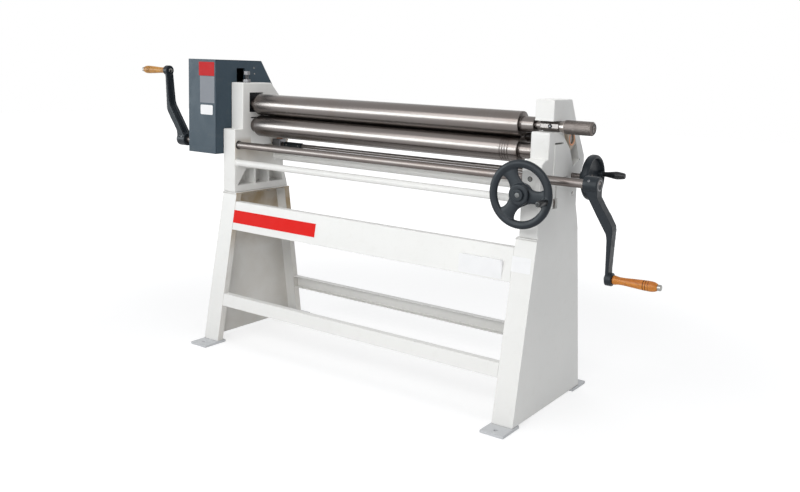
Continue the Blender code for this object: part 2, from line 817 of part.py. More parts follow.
block_half_length = housing_width / 2 - swing_block_inset
trunnion_reach = (window_top - window_low) / 2 + trunnion_depth - gap
window_middle = (window_top + window_low) / 2
block_half_height = (window_top - window_low) / 2 - gap
swing_block = prism("top_swing_block", iron, "x", -housing_middle_x - block_half_length,
                    -housing_middle_x + block_half_length,
                    box_outline(-swing_block_half, swing_block_half,
                                window_middle - block_half_height, window_middle + block_half_height),
                    [circle(0, top_roll_z, swing_journal_radius + running_gap, roll_steps)],
                    pivot=swing_pivot)
for sign in (-1, 1):
    ends = sorted((sign * (block_half_height - trunnion_depth / 2), sign * trunnion_reach))
    join(swing_block, cylinder_tool((-housing_middle_x, 0, window_middle), (0, 0, 1), *ends,
                                    trunnion_radius))

# Bearing adjuster: its tip stops just over the swing block
adjuster_centre = (-housing_middle_x, adjuster_y, 0)
adjuster_profile = [(0, adjuster_top), (adjuster_head_radius, adjuster_top),
                    (adjuster_head_radius, adjuster_top - adjuster_head),
                    (adjuster_radius, adjuster_top - adjuster_head), (adjuster_radius, window_top),
                    (0, window_top)]
turned("bearing_adjuster", zinc, adjuster_profile, adjuster_centre, (0, 0, 1), steps=small_steps)
turned("adjuster_lock_nut", zinc, ring(housing_top + gap, housing_top + gap + lock_nut_height,
                                       lock_nut_radius, adjuster_radius + running_gap),
       adjuster_centre, (0, 0, 1), steps=small_steps)

# Bottom roll and its sliding blocks
bottom_pivot = (0, 0, bottom_roll_z)
block_inner_x = housing_inner_x + gap
bottom_profile = [(0, journal_end_x), (bottom_journal_radius, journal_end_x - journal_end_cone),
                  (bottom_journal_radius, housing_inner_x - gap), (shoulder_radius, housing_inner_x - gap),
                  (shoulder_radius, roll_right), (roll_radius, roll_right), (roll_radius, roll_left),
                  (shoulder_radius, roll_left), (shoulder_radius, -housing_inner_x + gap),
                  (bottom_journal_radius, -housing_inner_x + gap),
                  (bottom_journal_radius, -roll_gear_inner_x + gap),
                  (gear_seat_radius, -roll_gear_inner_x + gap), (gear_seat_radius, -gear_outer_x - gap),
                  (0, -gear_outer_x - gap)]
turned("bottom_roll", ground, bottom_profile, bottom_pivot, (1, 0, 0), steps=roll_steps)

block_hole = [circle(0, bottom_roll_z, bottom_journal_radius + running_gap, roll_steps)]
bottom_left = prism("bottom_block_left", white, "x", -housing_outer_x, -block_inner_x,
                    block_outline(0), block_hole)
bottom_right = prism("bottom_block_right", white, "x", block_inner_x, housing_outer_x + block_stand_out,
                     block_outline(0))
cut(bottom_right, cylinder_tool(bottom_pivot, (1, 0, 0), housing_inner_x - cut_overrun,
                                journal_end_x + running_gap, bottom_journal_radius + running_gap,
                                roll_steps))

# Each block stands on a push rod, which is screwed into it and rides on a cam
for side, block in ((-1, bottom_left), (1, bottom_right)):
    join(block, cylinder_tool((side * push_rod_x, 0, 0), (0, 0, 1), cam_shaft_z + cam_radius + gap,
                              block_base + push_rod_radius, push_rod_radius, small_steps))

cam_turn = pi / 2
cam_steps = round_steps
cam_outline = []
for i in range(cam_steps):
    turn = 2 * pi * i / cam_steps
    rise = (turn - cam_turn) / cam_turn
    if turn < cam_turn:
        rise = 0
    if turn > 2 * cam_turn:
        rise = max(0, 2 - rise)
    cam_outline.append(((cam_radius - pinch_travel * rise) * cos(turn),
                        (cam_radius - pinch_travel * rise) * sin(turn)))
cam_pivot = (0, 0, cam_shaft_z)
cam_bore = circle(0, cam_shaft_z, cam_shaft_radius + gap, round_steps)
cam_shaft_end = push_rod_x + cam_width / 2
cam_shaft = turned("cam_shaft", shaft_steel, rod(-cam_shaft_end, cam_shaft_end, cam_shaft_radius),
                   cam_pivot, (1, 0, 0))
for side in (-1, 1):
    join(cam_shaft, prism_tool("x", side * push_rod_x - cam_width / 2, side * push_rod_x + cam_width / 2,
                               shifted(cam_outline, 0, cam_shaft_z)))
wheel_module = 2 * pinch_wheel_radius / (pinch_wheel_teeth + 2 * addendum_share)
prism("pinch_worm_wheel", bronze, "x", pinch_shaft_x - pinch_wheel_width / 2,
      pinch_shaft_x + pinch_wheel_width / 2,
      shifted(gear_outline(wheel_module * pinch_wheel_teeth / 2, pinch_wheel_teeth, 0), 0, cam_shaft_z),
      [cam_bore], cam_pivot)

# Front handwheel with its worm shaft
front_pivot = (pinch_shaft_x, 0, pinch_shaft_z)
shaft_front = front_wheel_y - front_hub_length / 2 + gap
pinch_profile = [(0, pinch_chamber_half - gap), (pinch_shaft_radius, pinch_chamber_half - gap),
                 (pinch_shaft_radius, pinch_worm_half), (pinch_worm_radius, pinch_worm_half),
                 (pinch_worm_radius, -pinch_worm_half), (pinch_shaft_radius, -pinch_worm_half),
                 (pinch_shaft_radius, shaft_front), (0, shaft_front)]
turned("pinch_worm_shaft", shaft_steel, pinch_profile, front_pivot, (0, 1, 0))


def sector(start_angle, end_angle, inner, outer, steps):
    """Window between two spokes of a handwheel."""
    turns = [start_angle + (end_angle - start_angle) * i / steps for i in range(steps + 1)]
    near = [(inner * cos(a), inner * sin(a)) for a in reversed(turns)]
    return [(outer * cos(a), outer * sin(a)) for a in turns] + near


def make_front_wheel():
    rim_inner = front_wheel_radius - front_rim_width
    half_angle = atan2(front_spoke_half, (rim_inner + front_hub_radius) / 2)
    windows = []
    for spoke in range(3):
        first = front_spoke_turn + 2 * pi * spoke / 3 + half_angle
        last = front_spoke_turn + 2 * pi * (spoke + 1) / 3 - half_angle
        windows.append(shifted(sector(first, last, front_hub_radius, rim_inner, small_steps // 2),
                               pinch_shaft_x, pinch_shaft_z))
    centre = (pinch_shaft_x, pinch_shaft_z)
    bore = circle(*centre, pinch_shaft_radius + gap, round_steps)
    piece = prism("front_handwheel", iron, "y", front_wheel_y - front_rim_depth / 2,
                  front_wheel_y + front_rim_depth / 2, circle(*centre, front_wheel_radius, roll_steps),
                  [bore] + windows, front_pivot)
    join(piece, turned("tool", iron, ring(front_wheel_y - front_hub_length / 2,
                                          front_wheel_y + front_hub_length / 2,
                                          front_hub_radius + gap, pinch_shaft_radius + gap),
                       front_pivot, (0, 1, 0)))
    handle_x = pinch_shaft_x + front_handle_reach * cos(front_handle_turn)
    handle_z = pinch_shaft_z + front_handle_reach * sin(front_handle_turn)
    spot = (handle_x, front_wheel_y, handle_z)
    cut(piece, cylinder_tool(spot, (0, 1, 0), -front_rim_depth, front_rim_depth,
                             handle_pin_radius + running_gap, small_steps))
    start = front_rim_depth / 2 + gap
    end = start + front_handle_length
    profile = [(0, end), (front_handle_radius * front_handle_end_share, end),
               (front_handle_radius, end - front_handle_shoulder),
               (front_handle_radius * front_handle_base_share, start), (handle_pin_radius, start),
               (handle_pin_radius, -front_rim_depth / 2), (0, -front_rim_depth / 2)]
    turned("front_handle", plastic, profile, spot, (0, -1, 0))


make_front_wheel()

# Rear roll and its inclined lift
rear_pivot = (0, rear_roll_y, rear_roll_z)
rear_end = journal_end_x
rear_profile = [(0, rear_end), (rear_journal_radius, rear_end), (rear_journal_radius, roll_right),
                (roll_radius, roll_right), (roll_radius, roll_left), (rear_journal_radius, roll_left),
                (rear_journal_radius, -rear_end), (0, -rear_end)]
turned("rear_roll", ground, rear_profile, rear_pivot, (1, 0, 0), steps=roll_steps)
for side, name in ((-1, "rear_block_left"), (1, "rear_block_right")):
    low, high = sorted((side * (housing_inner_x + gap), side * (housing_outer_x - gap)))
    prism(name, bronze, "x", low, high,
          incline_box(-rear_block_low, rear_block_high, -rear_block_half, rear_block_half),
          [circle(rear_roll_y, rear_roll_z, rear_journal_radius + running_gap, round_steps)])

for side, name in ((-1, "lift_screw_left"), (1, "lift_screw_right")):
    turned(name, zinc, rod(-lift_screw_below, -rear_block_low - gap, lift_screw_radius),
           (side * housing_middle_x, rear_roll_y, rear_roll_z), up_incline)

nut_module = 2 * nut_radius / (lift_nut_teeth + 2 * addendum_share)
for side, name in ((-1, "lift_nut_left"), (1, "lift_nut_right")):
    nut_data = bmesh.new()
    add_prism(nut_data, "z", -lift_nut_width / 2, lift_nut_width / 2,
              gear_outline(nut_module * lift_nut_teeth / 2, lift_nut_teeth, 0),
              [circle(0, 0, lift_screw_radius + running_gap, round_steps)])
    centre = Vector((side * housing_middle_x, rear_roll_y, rear_roll_z)) + up_incline * nut_u
    transform_piece(nut_data, Matrix.Translation(centre) @ along(up_incline))
    finish(name, nut_data, bronze, centre)

# Lift shaft with its worms and coupling sleeve, its bracket and the side handwheel
lift_pivot = (0, lift_shaft_y, lift_shaft_z)
worm_low = housing_middle_x - lift_worm_length / 2
worm_high = housing_middle_x + lift_worm_length / 2
side_shaft_end = side_web_x + side_web_thickness - gap
sleeve_right_x = sleeve_left_x + sleeve_length
lift_profile = [(0, side_shaft_end), (lift_shaft_radius, side_shaft_end), (lift_shaft_radius, worm_high),
                (lift_worm_radius, worm_high), (lift_worm_radius, worm_low), (lift_shaft_radius, worm_low),
                (lift_shaft_radius, sleeve_right_x), (sleeve_radius, sleeve_right_x),
                (sleeve_radius, sleeve_left_x), (lift_shaft_radius, sleeve_left_x),
                (lift_shaft_radius, -worm_low), (lift_worm_radius, -worm_low),
                (lift_worm_radius, -worm_high), (0, -worm_high)]
turned("lift_shaft", shaft_steel, lift_profile, lift_pivot, (1, 0, 0))
prism("shaft_bracket", gear_steel, "x", -housing_inner_x + gap, -bracket_x,
      box_outline(lift_shaft_y - bracket_half, lift_shaft_y + bracket_half,
                  lift_shaft_z - bracket_half, lift_shaft_z + bracket_half),
      [circle(lift_shaft_y, lift_shaft_z, lift_shaft_radius + running_gap, round_steps)])


def make_side_wheel():
    outer = side_wheel_radius
    inner = outer - side_rim_width
    bore = lift_shaft_radius + gap
    web_end = side_web_x + side_web_thickness
    rim_start = side_web_x - side_web_thickness / 2
    rim_end = rim_start + side_rim_depth
    profile = [(bore, web_end), (inner, web_end), (inner, rim_end), (outer, rim_end),
               (outer, rim_start), (inner, rim_start), (inner, side_web_x),
               (side_hub_radius, side_web_x), (side_hub_radius, side_hub_start_x),
               (bore, side_hub_start_x)]
    piece = turned("side_handwheel", iron, profile, lift_pivot, (1, 0, 0), steps=roll_steps)
    spot = (0, lift_shaft_y + side_handle_reach * cos(side_handle_turn),
            lift_shaft_z + side_handle_reach * sin(side_handle_turn))
    boss = turned("tool", iron, rod(side_web_x + side_web_thickness / 2, side_handle_start_x - gap,
                                    side_handle_base), spot, (1, 0, 0), steps=small_steps)
    join(piece, boss)
    cut(piece, cylinder_tool(spot, (1, 0, 0), housing_outer_x, side_handle_start_x + side_rim_depth,
                             handle_pin_radius + running_gap, small_steps))
    end = side_handle_start_x + side_handle_length
    widest = side_handle_start_x + side_handle_length * side_handle_widest_share
    shape = [(0, end), (side_handle_tip, end), (side_handle_widest, widest),
             (side_handle_base, side_handle_start_x), (handle_pin_radius, side_handle_start_x),
             (handle_pin_radius, side_web_x), (0, side_web_x)]
    turned("side_handle", plastic, shape, spot, (1, 0, 0))


make_side_wheel()

# Drive shaft and bushes
drive_pivot = (drive_middle_x, drive_y, drive_z)
drive_half = crank_inner_x + crank_hub_length
turned("drive_shaft", shaft_steel, rod(-drive_half, drive_half, drive_radius), drive_pivot,
       (1, 0, 0))
for side, name in ((-1, "shaft_bush_left"), (1, "shaft_bush_right")):
    inner_radius = drive_radius + running_gap
    outer_radius = drive_radius + bush_wall + gap
    face = housing_inner_x - gap
    stations = [(outer_radius + bush_flange, face - bush_flange_width),
                (outer_radius + bush_flange, face), (outer_radius, face),
                (outer_radius, face + bush_length), (inner_radius, face + bush_length),
                (inner_radius, face - bush_flange_width)]
    turned(name, gear_steel, stations, (0, drive_y, drive_z), (side, 0, 0))

# Cranks: the arm's side view, as reach from the hub's inner face and distance from the shaft
arm_inner_shares = [(0.050, -0.020), (0.050, 0.066), (0.124, 0.092), (0.258, 0.172), (0.567, 0.343),
                    (0.866, 0.502), (0.897, 0.561), (0.902, 0.736), (0.897, 1)]
arm_outer_shares = [(1.021, 1), (1.021, 0.898), (1.052, 0.686), (1.093, 0.465), (1.072, 0.416),
                    (0.804, 0.271), (0.515, 0.125), (0.515, -0.020)]


def crank_place(side):
    """From the drive shaft's middle to the machine, turned as that side's crank stands."""
    tilt = crank_tilt_right if side > 0 else crank_tilt_left
    return Matrix.Translation(Vector(drive_pivot)) @ Matrix.Rotation(tilt, 4, (1, 0, 0))


def make_crank(side, name):
    """Side is 1 for the right crank, whose arm hangs, and -1 for the left one, whose arm stands."""
    outline = [(side * (crank_inner_x + reach * crank_boss_offset), -side * distance * crank_radius)
               for reach, distance in arm_inner_shares + arm_outer_shares]
    place = crank_place(side)

    def part(add, *values):
        mesh_data = bmesh.new()
        add(mesh_data, *values)
        transform_piece(mesh_data, place)
        return mesh_data

    boss_start = crank_inner_x + crank_boss_offset - crank_boss_length / 2
    boss_end = boss_start + crank_boss_length
    hub_end = crank_inner_x + crank_hub_length
    piece = finish(name, part(add_prism, "y", -crank_width / 2, crank_width / 2, outline), iron,
                   drive_pivot)
    hub = part(add_turned, rod(crank_inner_x, hub_end, crank_hub_radius), (0, 0, 0), (side, 0, 0))
    boss = part(add_turned, rod(boss_start, boss_end, crank_boss_radius),
                (0, 0, -side * crank_radius), (side, 0, 0))
    join(piece, finish("tool", hub, iron), finish("tool", boss, iron))
    bore = part(add_turned, rod(crank_inner_x - cut_overrun, hub_end + cut_overrun,
                                drive_radius + gap), (0, 0, 0), (side, 0, 0))
    eye = part(add_turned, rod(boss_start - cut_overrun, boss_end + cut_overrun,
                               spindle_radius + gap),
               (0, 0, -side * crank_radius), (side, 0, 0), small_steps)
    cut(piece, finish("tool", bore, iron), finish("tool", eye, iron))


# Grip turning: shares of the wood's length and of its widest radius
wood_shares = [(0, 0.70), (0.02, 0.93), (0.06, 0.97), (0.10, 0.90), (0.13, 0.84), (0.30, 0.90),
               (0.60, 0.98), (0.78, 1), (0.92, 0.95), (0.98, 0.80), (1, 0.62)]


def make_grip(side, name):
    start = crank_inner_x + crank_boss_offset + crank_boss_length / 2 + gap
    bore = spindle_radius + running_gap
    outer = [(wood_radius * width, start + wood_length * share) for share, width in reversed(wood_shares)]
    profile = outer + [(bore, start), (bore, start + wood_length)]
    mesh_data = bmesh.new()
    add_turned(mesh_data, profile, (0, 0, -side * crank_radius), (side, 0, 0))
    place = crank_place(side)
    transform_piece(mesh_data, place)
    finish(name, mesh_data, wood, place @ Vector((0, 0, -side * crank_radius)))


def make_spindle(side, name):
    boss_start = crank_inner_x + crank_boss_offset - crank_boss_length / 2
    tip = grip_reach - spindle_tip_length
    profile = [(0, grip_reach), (spindle_tip_radius * spindle_end_share, grip_reach),
               (spindle_tip_radius, grip_reach - spindle_radius), (spindle_tip_radius, tip),
               (spindle_radius, tip), (spindle_radius, boss_start - gap),
               (spindle_tip_radius, boss_start - gap), (spindle_tip_radius, boss_start - gap - spindle_radius),
               (0, boss_start - gap - spindle_radius)]
    mesh_data = bmesh.new()
    add_turned(mesh_data, profile, (0, 0, -side * crank_radius), (side, 0, 0), small_steps)
    transform_piece(mesh_data, crank_place(side))
    finish(name, mesh_data, zinc, drive_pivot)


make_crank(-1, "crank_left")
make_crank(1, "crank_right")
make_grip(-1, "crank_grip_left")
make_grip(1, "crank_grip_right")
make_spindle(-1, "grip_spindle_left")
make_spindle(1, "grip_spindle_right")


# Gear train in the case at the left end
def make_gear(name, pitch_radius, teeth, centre, start_angle, inner_x, width, bore, pivot):
    outline = shifted(gear_outline(pitch_radius, teeth, start_angle), *centre)
    return prism(name, gear_steel, "x", -inner_x - width, -inner_x, outline,
                 [circle(*centre, bore, round_steps)], pivot)


def mesh_angle(teeth, own_centre, other_centre, other_teeth, other_start):
    """Start angle that puts a gap of this gear where the other gear has a tooth."""
    line = atan2(own_centre[1] - other_centre[1], own_centre[0] - other_centre[0])
    other_step = 2 * pi / other_teeth
    phase = ((line - other_start) / other_step) % 1
    own_step = 2 * pi / teeth
    return line + pi + own_step * (0.5 + phase)


top_centre = (0, top_roll_z)
bottom_centre = (0, bottom_roll_z)
upper_centre = (idler_y, upper_idler_z)
lower_centre = (idler_y, lower_idler_z)
drive_centre = (drive_y, drive_z)
seat_bore = gear_seat_radius + gap
stud_bore = stud_radius + running_gap
top_start = 0
upper_start = mesh_angle(roll_gear_teeth, upper_centre, top_centre, roll_gear_teeth, top_start)
lower_start = mesh_angle(roll_gear_teeth, lower_centre, upper_centre, roll_gear_teeth, upper_start)
bottom_start = mesh_angle(roll_gear_teeth, bottom_centre, lower_centre, roll_gear_teeth, lower_start)
pinion_start = mesh_angle(pinion_teeth, drive_centre, lower_centre, reduction_teeth, 0)
make_gear("top_roll_gear", roll_gear_radius, roll_gear_teeth, top_centre, top_start,
          roll_gear_inner_x, roll_gear_width, seat_bore, swing_pivot)
make_gear("bottom_roll_gear", roll_gear_radius, roll_gear_teeth, bottom_centre, bottom_start,
          roll_gear_inner_x, roll_gear_width, seat_bore, bottom_pivot)
make_gear("idler_gear_upper", roll_gear_radius, roll_gear_teeth, upper_centre, upper_start,
          roll_gear_inner_x, roll_gear_width, stud_bore, (-roll_gear_inner_x, *upper_centre))
cluster = make_gear("reduction_cluster_gear", roll_gear_radius, roll_gear_teeth, lower_centre, lower_start,
                    roll_gear_inner_x, roll_gear_width, stud_bore, (-roll_gear_inner_x, *lower_centre))
join(cluster, turned("tool", gear_steel, ring(roll_gear_inner_x + roll_gear_width / 2,
                                              reduction_inner_x + reduction_width / 2,
                                              cluster_neck_radius, stud_bore),
                     (0, *lower_centre), (-1, 0, 0)),
     make_gear("tool", drive_module * reduction_teeth / 2, reduction_teeth, lower_centre, 0,
               reduction_inner_x, reduction_width, stud_bore, (0, 0, 0)))
make_gear("drive_pinion", drive_module * pinion_teeth / 2, pinion_teeth, drive_centre, pinion_start,
          reduction_inner_x, reduction_width, drive_radius + gap, drive_pivot)

plate_inner_x = housing_outer_x + gap
plate_outer_x = plate_inner_x + case_plate_thickness


def stud_tools():
    """Studs for the idler gears, pressed into the case plate."""
    tools = []
    cluster_end = reduction_inner_x + reduction_width
    for centre, last in ((upper_centre, gear_outer_x), (lower_centre, cluster_end)):
        head = last + gap + stud_head_height
        stations = [(0, head), (stud_head_radius, head), (stud_head_radius, last + gap),
                    (stud_radius, last + gap), (stud_radius, plate_inner_x + gap),
                    (0, plate_inner_x + gap)]
        tools.append(turned("tool", zinc, stations, (0, *centre), (-1, 0, 0)))
    return tools


# Gear case: shares of the case's depth and height
case_shares = [(0, 0), (0, 1), (0.715, 1), (0.909, 0.734), (1, 0.626), (1, 0)]


def case_outline(inset):
    depth = case_rear - case_front - 2 * inset
    height = case_top - case_low - 2 * inset
    return [(case_front + inset + depth * back, case_low + inset + height * rise)
            for back, rise in case_shares]


def make_case_plate():
    holes = [circle(drive_y, drive_z, drive_radius + 2 * running_gap, round_steps),
             circle(swing_hole_shift, top_roll_z, swing_journal_radius + swing_clearance, round_steps),
             circle(0, bottom_roll_z, bottom_journal_radius + pinch_travel + running_gap, round_steps)]
    piece = prism("gear_case_plate", slate, "x", -plate_outer_x, -plate_inner_x,
                  case_outline(case_sheet + gap), holes)
    join(piece, *stud_tools())
    notch = box_outline(adjuster_y - notch_half, adjuster_y + notch_half,
                        housing_top + gap, housing_top + notch_height)
    cut(piece, prism_tool("x", -case_outer_x, 0, notch))


def make_case_cover():
    """Folded tray, open towards the housing."""
    mesh_data = bmesh.new()
    loops = []
    for inset, x in ((0, -case_outer_x), (0, -plate_inner_x), (case_sheet, -plate_inner_x),
                     (case_sheet, -case_outer_x + case_sheet)):
        loops.append([mesh_data.verts.new((x, y, z)) for y, z in case_outline(inset)])
    for first, second in zip(loops, loops[1:]):
        for i in range(len(first)):
            mesh_data.faces.new((first[i - 1], first[i], second[i], second[i - 1]))
    mesh_data.faces.new(loops[0])
    mesh_data.faces.new(loops[-1])
    piece = finish("gear_case_cover", mesh_data, slate)
    cut(piece, cylinder_tool((0, drive_y, drive_z), (1, 0, 0), -case_outer_x - cut_overrun,
                             -case_outer_x + web_thickness, drive_radius + drive_hole_margin))


make_case_plate()
make_case_cover()
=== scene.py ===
"""Looks of the slip roll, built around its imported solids. Metres, +Z up."""
import json
from math import cos, pi, radians, sin

import bmesh
import bpy
from mathutils import Matrix, Vector

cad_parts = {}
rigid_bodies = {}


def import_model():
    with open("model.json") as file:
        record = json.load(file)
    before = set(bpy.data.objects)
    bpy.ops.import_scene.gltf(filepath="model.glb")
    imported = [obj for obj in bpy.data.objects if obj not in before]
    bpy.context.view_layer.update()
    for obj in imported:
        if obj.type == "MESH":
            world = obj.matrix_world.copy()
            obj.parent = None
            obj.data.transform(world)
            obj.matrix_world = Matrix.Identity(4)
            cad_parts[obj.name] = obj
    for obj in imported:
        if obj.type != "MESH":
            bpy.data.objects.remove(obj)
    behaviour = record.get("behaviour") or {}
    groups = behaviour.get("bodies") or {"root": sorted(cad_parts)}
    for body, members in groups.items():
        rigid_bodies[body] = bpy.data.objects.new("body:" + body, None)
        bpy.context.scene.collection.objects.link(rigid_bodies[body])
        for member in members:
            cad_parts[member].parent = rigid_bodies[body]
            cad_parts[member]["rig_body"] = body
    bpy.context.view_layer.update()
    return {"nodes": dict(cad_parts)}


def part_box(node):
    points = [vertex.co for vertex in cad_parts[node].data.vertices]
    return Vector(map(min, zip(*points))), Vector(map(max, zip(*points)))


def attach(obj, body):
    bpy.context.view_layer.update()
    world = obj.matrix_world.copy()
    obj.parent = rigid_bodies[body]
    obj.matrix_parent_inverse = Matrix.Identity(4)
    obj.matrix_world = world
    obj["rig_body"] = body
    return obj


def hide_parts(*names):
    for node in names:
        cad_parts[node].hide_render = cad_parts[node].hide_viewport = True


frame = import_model()
nodes = frame["nodes"]
scene = bpy.context.scene

# Machine coordinates: X from the stand's middle, Y from the pinch rolls, Z from the floor
SHIFT = Vector((0.0485, -0.027, 0))

# Camera: place, yaw, pitch, roll, focal length and middle of the picture, from the photograph
IMAGE_WIDTH = 800
IMAGE_HEIGHT = 492
CAMERA_PLACE = Vector((2.02209, -2.68644, 1.20896)) + SHIFT
CAMERA_YAW = radians(34.39)
CAMERA_PITCH = radians(8.79)
CAMERA_ROLL = radians(1.93)
FOCAL_PIXELS = 861.91
MIDDLE_U = 418.12
MIDDLE_V = 197.99
SENSOR = 36


def add_object(name, data):
    thing = bpy.data.objects.new(name, data)
    scene.collection.objects.link(thing)
    return thing


def make_camera():
    data = bpy.data.cameras.new("camera")
    camera = add_object("camera", data)
    ahead = Vector((-sin(CAMERA_YAW) * cos(CAMERA_PITCH), cos(CAMERA_YAW) * cos(CAMERA_PITCH),
        -sin(CAMERA_PITCH)))
    level = Vector((cos(CAMERA_YAW), sin(CAMERA_YAW), 0))
    rise = level.cross(ahead)
    right = level * cos(CAMERA_ROLL) + rise * sin(CAMERA_ROLL)
    up = rise * cos(CAMERA_ROLL) - level * sin(CAMERA_ROLL)
    turn = Matrix((right, up, -ahead)).transposed().to_4x4()
    camera.matrix_world = Matrix.Translation(CAMERA_PLACE) @ turn
    data.sensor_width = SENSOR
    data.lens = FOCAL_PIXELS / IMAGE_WIDTH * SENSOR
    data.shift_x = (IMAGE_WIDTH / 2 - MIDDLE_U) / IMAGE_WIDTH
    data.shift_y = (MIDDLE_V - IMAGE_HEIGHT / 2) / IMAGE_WIDTH
    data.clip_start = 0.05
    data.clip_end = 60
    scene.camera = camera


make_camera()


# Materials
def set_inputs(node, values):
    for socket, value in values.items():
        node.inputs[socket].default_value = value


def add_node(tree, kind, **settings):
    node = tree.nodes.new("ShaderNode" + kind)
    set_inputs(node, {key: value for key, value in settings.items() if key in node.inputs})
    for key in settings.keys() - set(node.inputs.keys()):
        setattr(node, key, settings[key])
    return node


class Finish:
    """A Principled material with helpers that wire procedural detail into it."""

    def __init__(self, name, colour, roughness, metallic=0.0, **fixed):
        self.material = bpy.data.materials.new(name)
        self.material.use_nodes = True
        self.tree = self.material.node_tree
        self.shader = self.tree.nodes["Principled BSDF"]
        self.roughness = roughness
        set_inputs(self.shader, {"Base Color": (*colour, 1), "Roughness": roughness,
            "Metallic": metallic})
        set_inputs(self.shader, {socket.replace("_", " "): value for socket, value in fixed.items()})
        self.place = self.add("TexCoord").outputs["Object"]
        self.tint = None
        self.normal = None

    def add(self, kind, **settings):
        return add_node(self.tree, kind, **settings)

    def link(self, output, socket):
        self.tree.links.new(output, socket)

    def noise(self, scale, detail=4.0, stretch=(1, 1, 1), distortion=0.0):
        mapping = self.add("Mapping", Scale=stretch)
        node = self.add("TexNoise", Scale=scale, Detail=detail, Distortion=distortion)
        self.link(self.place, mapping.inputs["Vector"])
        self.link(mapping.outputs["Vector"], node.inputs["Vector"])
        return node.outputs["Fac"]

    def ramp(self, value, low, high, out_low=0, out_high=1):
        node = self.add("MapRange")
        set_inputs(node, {"From Min": low, "From Max": high, "To Min": out_low, "To Max": out_high})
        self.link(value, node.inputs["Value"])
        return node.outputs["Result"]

    def maths(self, operation, first, second=None):
        node = self.add("Math", operation=operation)
        for socket, value in zip(node.inputs, (first, second)):
            if isinstance(value, (int, float)):
                socket.default_value = value
            elif value is not None:
                self.link(value, socket)
        return node.outputs[0]

    def blend(self, share, first, second):
        """Colour between two, each a colour or an output; share is an output."""
        node = self.add("Mix", data_type="RGBA")
        self.link(share, node.inputs["Factor"])
        for socket, value in ((node.inputs[6], first), (node.inputs[7], second)):
            if isinstance(value, tuple):
                socket.default_value = (*value, 1)
            else:
                self.link(value, socket)
        return node.outputs[2]

    def paint(self, output):
        self.tint = output
        self.link(output, self.shader.inputs["Base Color"])

    def rough(self, value, spread):
        self.link(self.ramp(value, 0.3, 0.7, self.roughness - spread, self.roughness + spread),
            self.shader.inputs["Roughness"])

    def bump(self, value, distance, strength=1.0):
        node = self.add("Bump", Distance=distance, Strength=strength)
        self.link(value, node.inputs["Height"])
        if self.normal:
            self.link(self.normal, node.inputs["Normal"])
        self.normal = node.outputs["Normal"]
        self.link(self.normal, self.shader.inputs["Normal"])


def shade(colour, factor):
    return tuple(c * factor for c in colour)


EVEN = (1, 1, 1)
# Brown of the painted shade on inner faces
BROWN_PAINTED_SHADE = (0.35, 0.265, 0.165)
WHITE_PAINT = (0.8, 0.795, 0.77)
NEAR_BLACK = (0.008, 0.009, 0.01)


def layered(name, colour, roughness, layers, rough, bumps, metallic=0.0, **fixed):
    """Finish of noises: layers of colour with their range and share, then roughness, then bumps."""
    finish = Finish(name, colour, roughness, metallic, **fixed)
    for noise, low, high, share, over in layers:
        colour = finish.blend(finish.ramp(finish.noise(*noise), low, high, 0, share), colour, over)
    finish.paint(colour)
    finish.rough(finish.noise(*rough[0]), rough[1])
    for noise, distance, strength in bumps:
        finish.bump(finish.noise(*noise), distance, strength)
    return finish


def enamel(name, colour, roughness, grime=(0.5, 0.46, 0.38), grime_share=0.08, coat=0.03, painted_shade=None):
    """Sprayed enamel: faint clouds, a little grime, orange peel; the last argument paints brown shade
    on inner faces.
    """
    finish = layered(
        name, shade(colour, 0.97), roughness,
        [((3.2, 3), 0.35, 0.65, 1, colour), ((38, 6, EVEN, 0.6), 0.55, 0.8, grime_share, grime)],
        ((22, 5), 0.07), [((420, 2), 0.00006, 0.7), ((60, 3), 0.00012, 0.4)],
        Coat_Weight=coat, Coat_Roughness=0.25, Specular_IOR_Level=0.16)
    if painted_shade:
        finish.paint(finish.blend(inner_painted_shade(finish, *painted_shade), finish.tint, BROWN_PAINTED_SHADE))
    return finish.material


def inner_painted_shade(finish, low, high, least, most, fade, gone):
    """Brown painted shade on faces that look to the right, from least at one height to most at another.
    """
    facing = finish.add("SeparateXYZ")
    finish.link(finish.add("NewGeometry").outputs["Normal"], facing.inputs[0])
    height = finish.add("SeparateXYZ")
    finish.link(finish.place, height.inputs[0])
    share = finish.ramp(facing.outputs[0], 0.5, 0.9)
    for part in (finish.ramp(height.outputs[2], low, high, least, most),
            finish.ramp(height.outputs[2], fade, gone, 1, 0.1),
            finish.ramp(finish.noise(9, 4, distortion=0.5), 0.35, 0.62, 0.6, 1)):
        share = finish.maths("MULTIPLY", share, part)
    return share


def round_steel(name, colour, roughness, marks, drawn=False):
    """Round bar along X, ground (marks round it) or drawn (marks along it), browned in patches."""
    lines = (1, 6, (4, marks, marks) if drawn else (marks, 2, 2))
    bands = (1, 3, (1.5, 40, 40) if drawn else (60, 1, 1))
    warm = (colour[0] * 0.84, colour[1] * 0.72, colour[2] * 0.64)
    finish = layered(
        name, shade(colour, 0.97), roughness,
        [(lines, 0.3, 0.7, 1, shade(colour, 1.03)), (bands, 0.38, 0.62, 0.12, shade(colour, 0.86)),
        ((9, 5, EVEN, 0.5), 0.48, 0.72, 0.35, warm)],
        (lines, 0.003), [(lines, 0.0000005, 0.1)], 1.0,
        Anisotropic=0.3, Anisotropic_Rotation=0 if drawn else 0.25)
    tangent = finish.add("Tangent", direction_type="RADIAL", axis="X")
    finish.link(tangent.outputs[0], finish.shader.inputs["Tangent"])
    return finish.material


def plain_metal(name, colour, roughness, grain=240):
    """Machined or plated metal with fine scratches and a dull bloom."""
    scratch = (1, 4, (grain, grain * 0.2, grain * 0.6))
    return layered(
        name, colour, roughness,
        [((30, 5), 0.35, 0.7, 1, shade(colour, 0.72)), (scratch, 0.4, 0.7, 0.4, shade(colour, 1.2))],
        (scratch, 0.08), [(scratch, 0.00004, 0.5)], 1.0).material


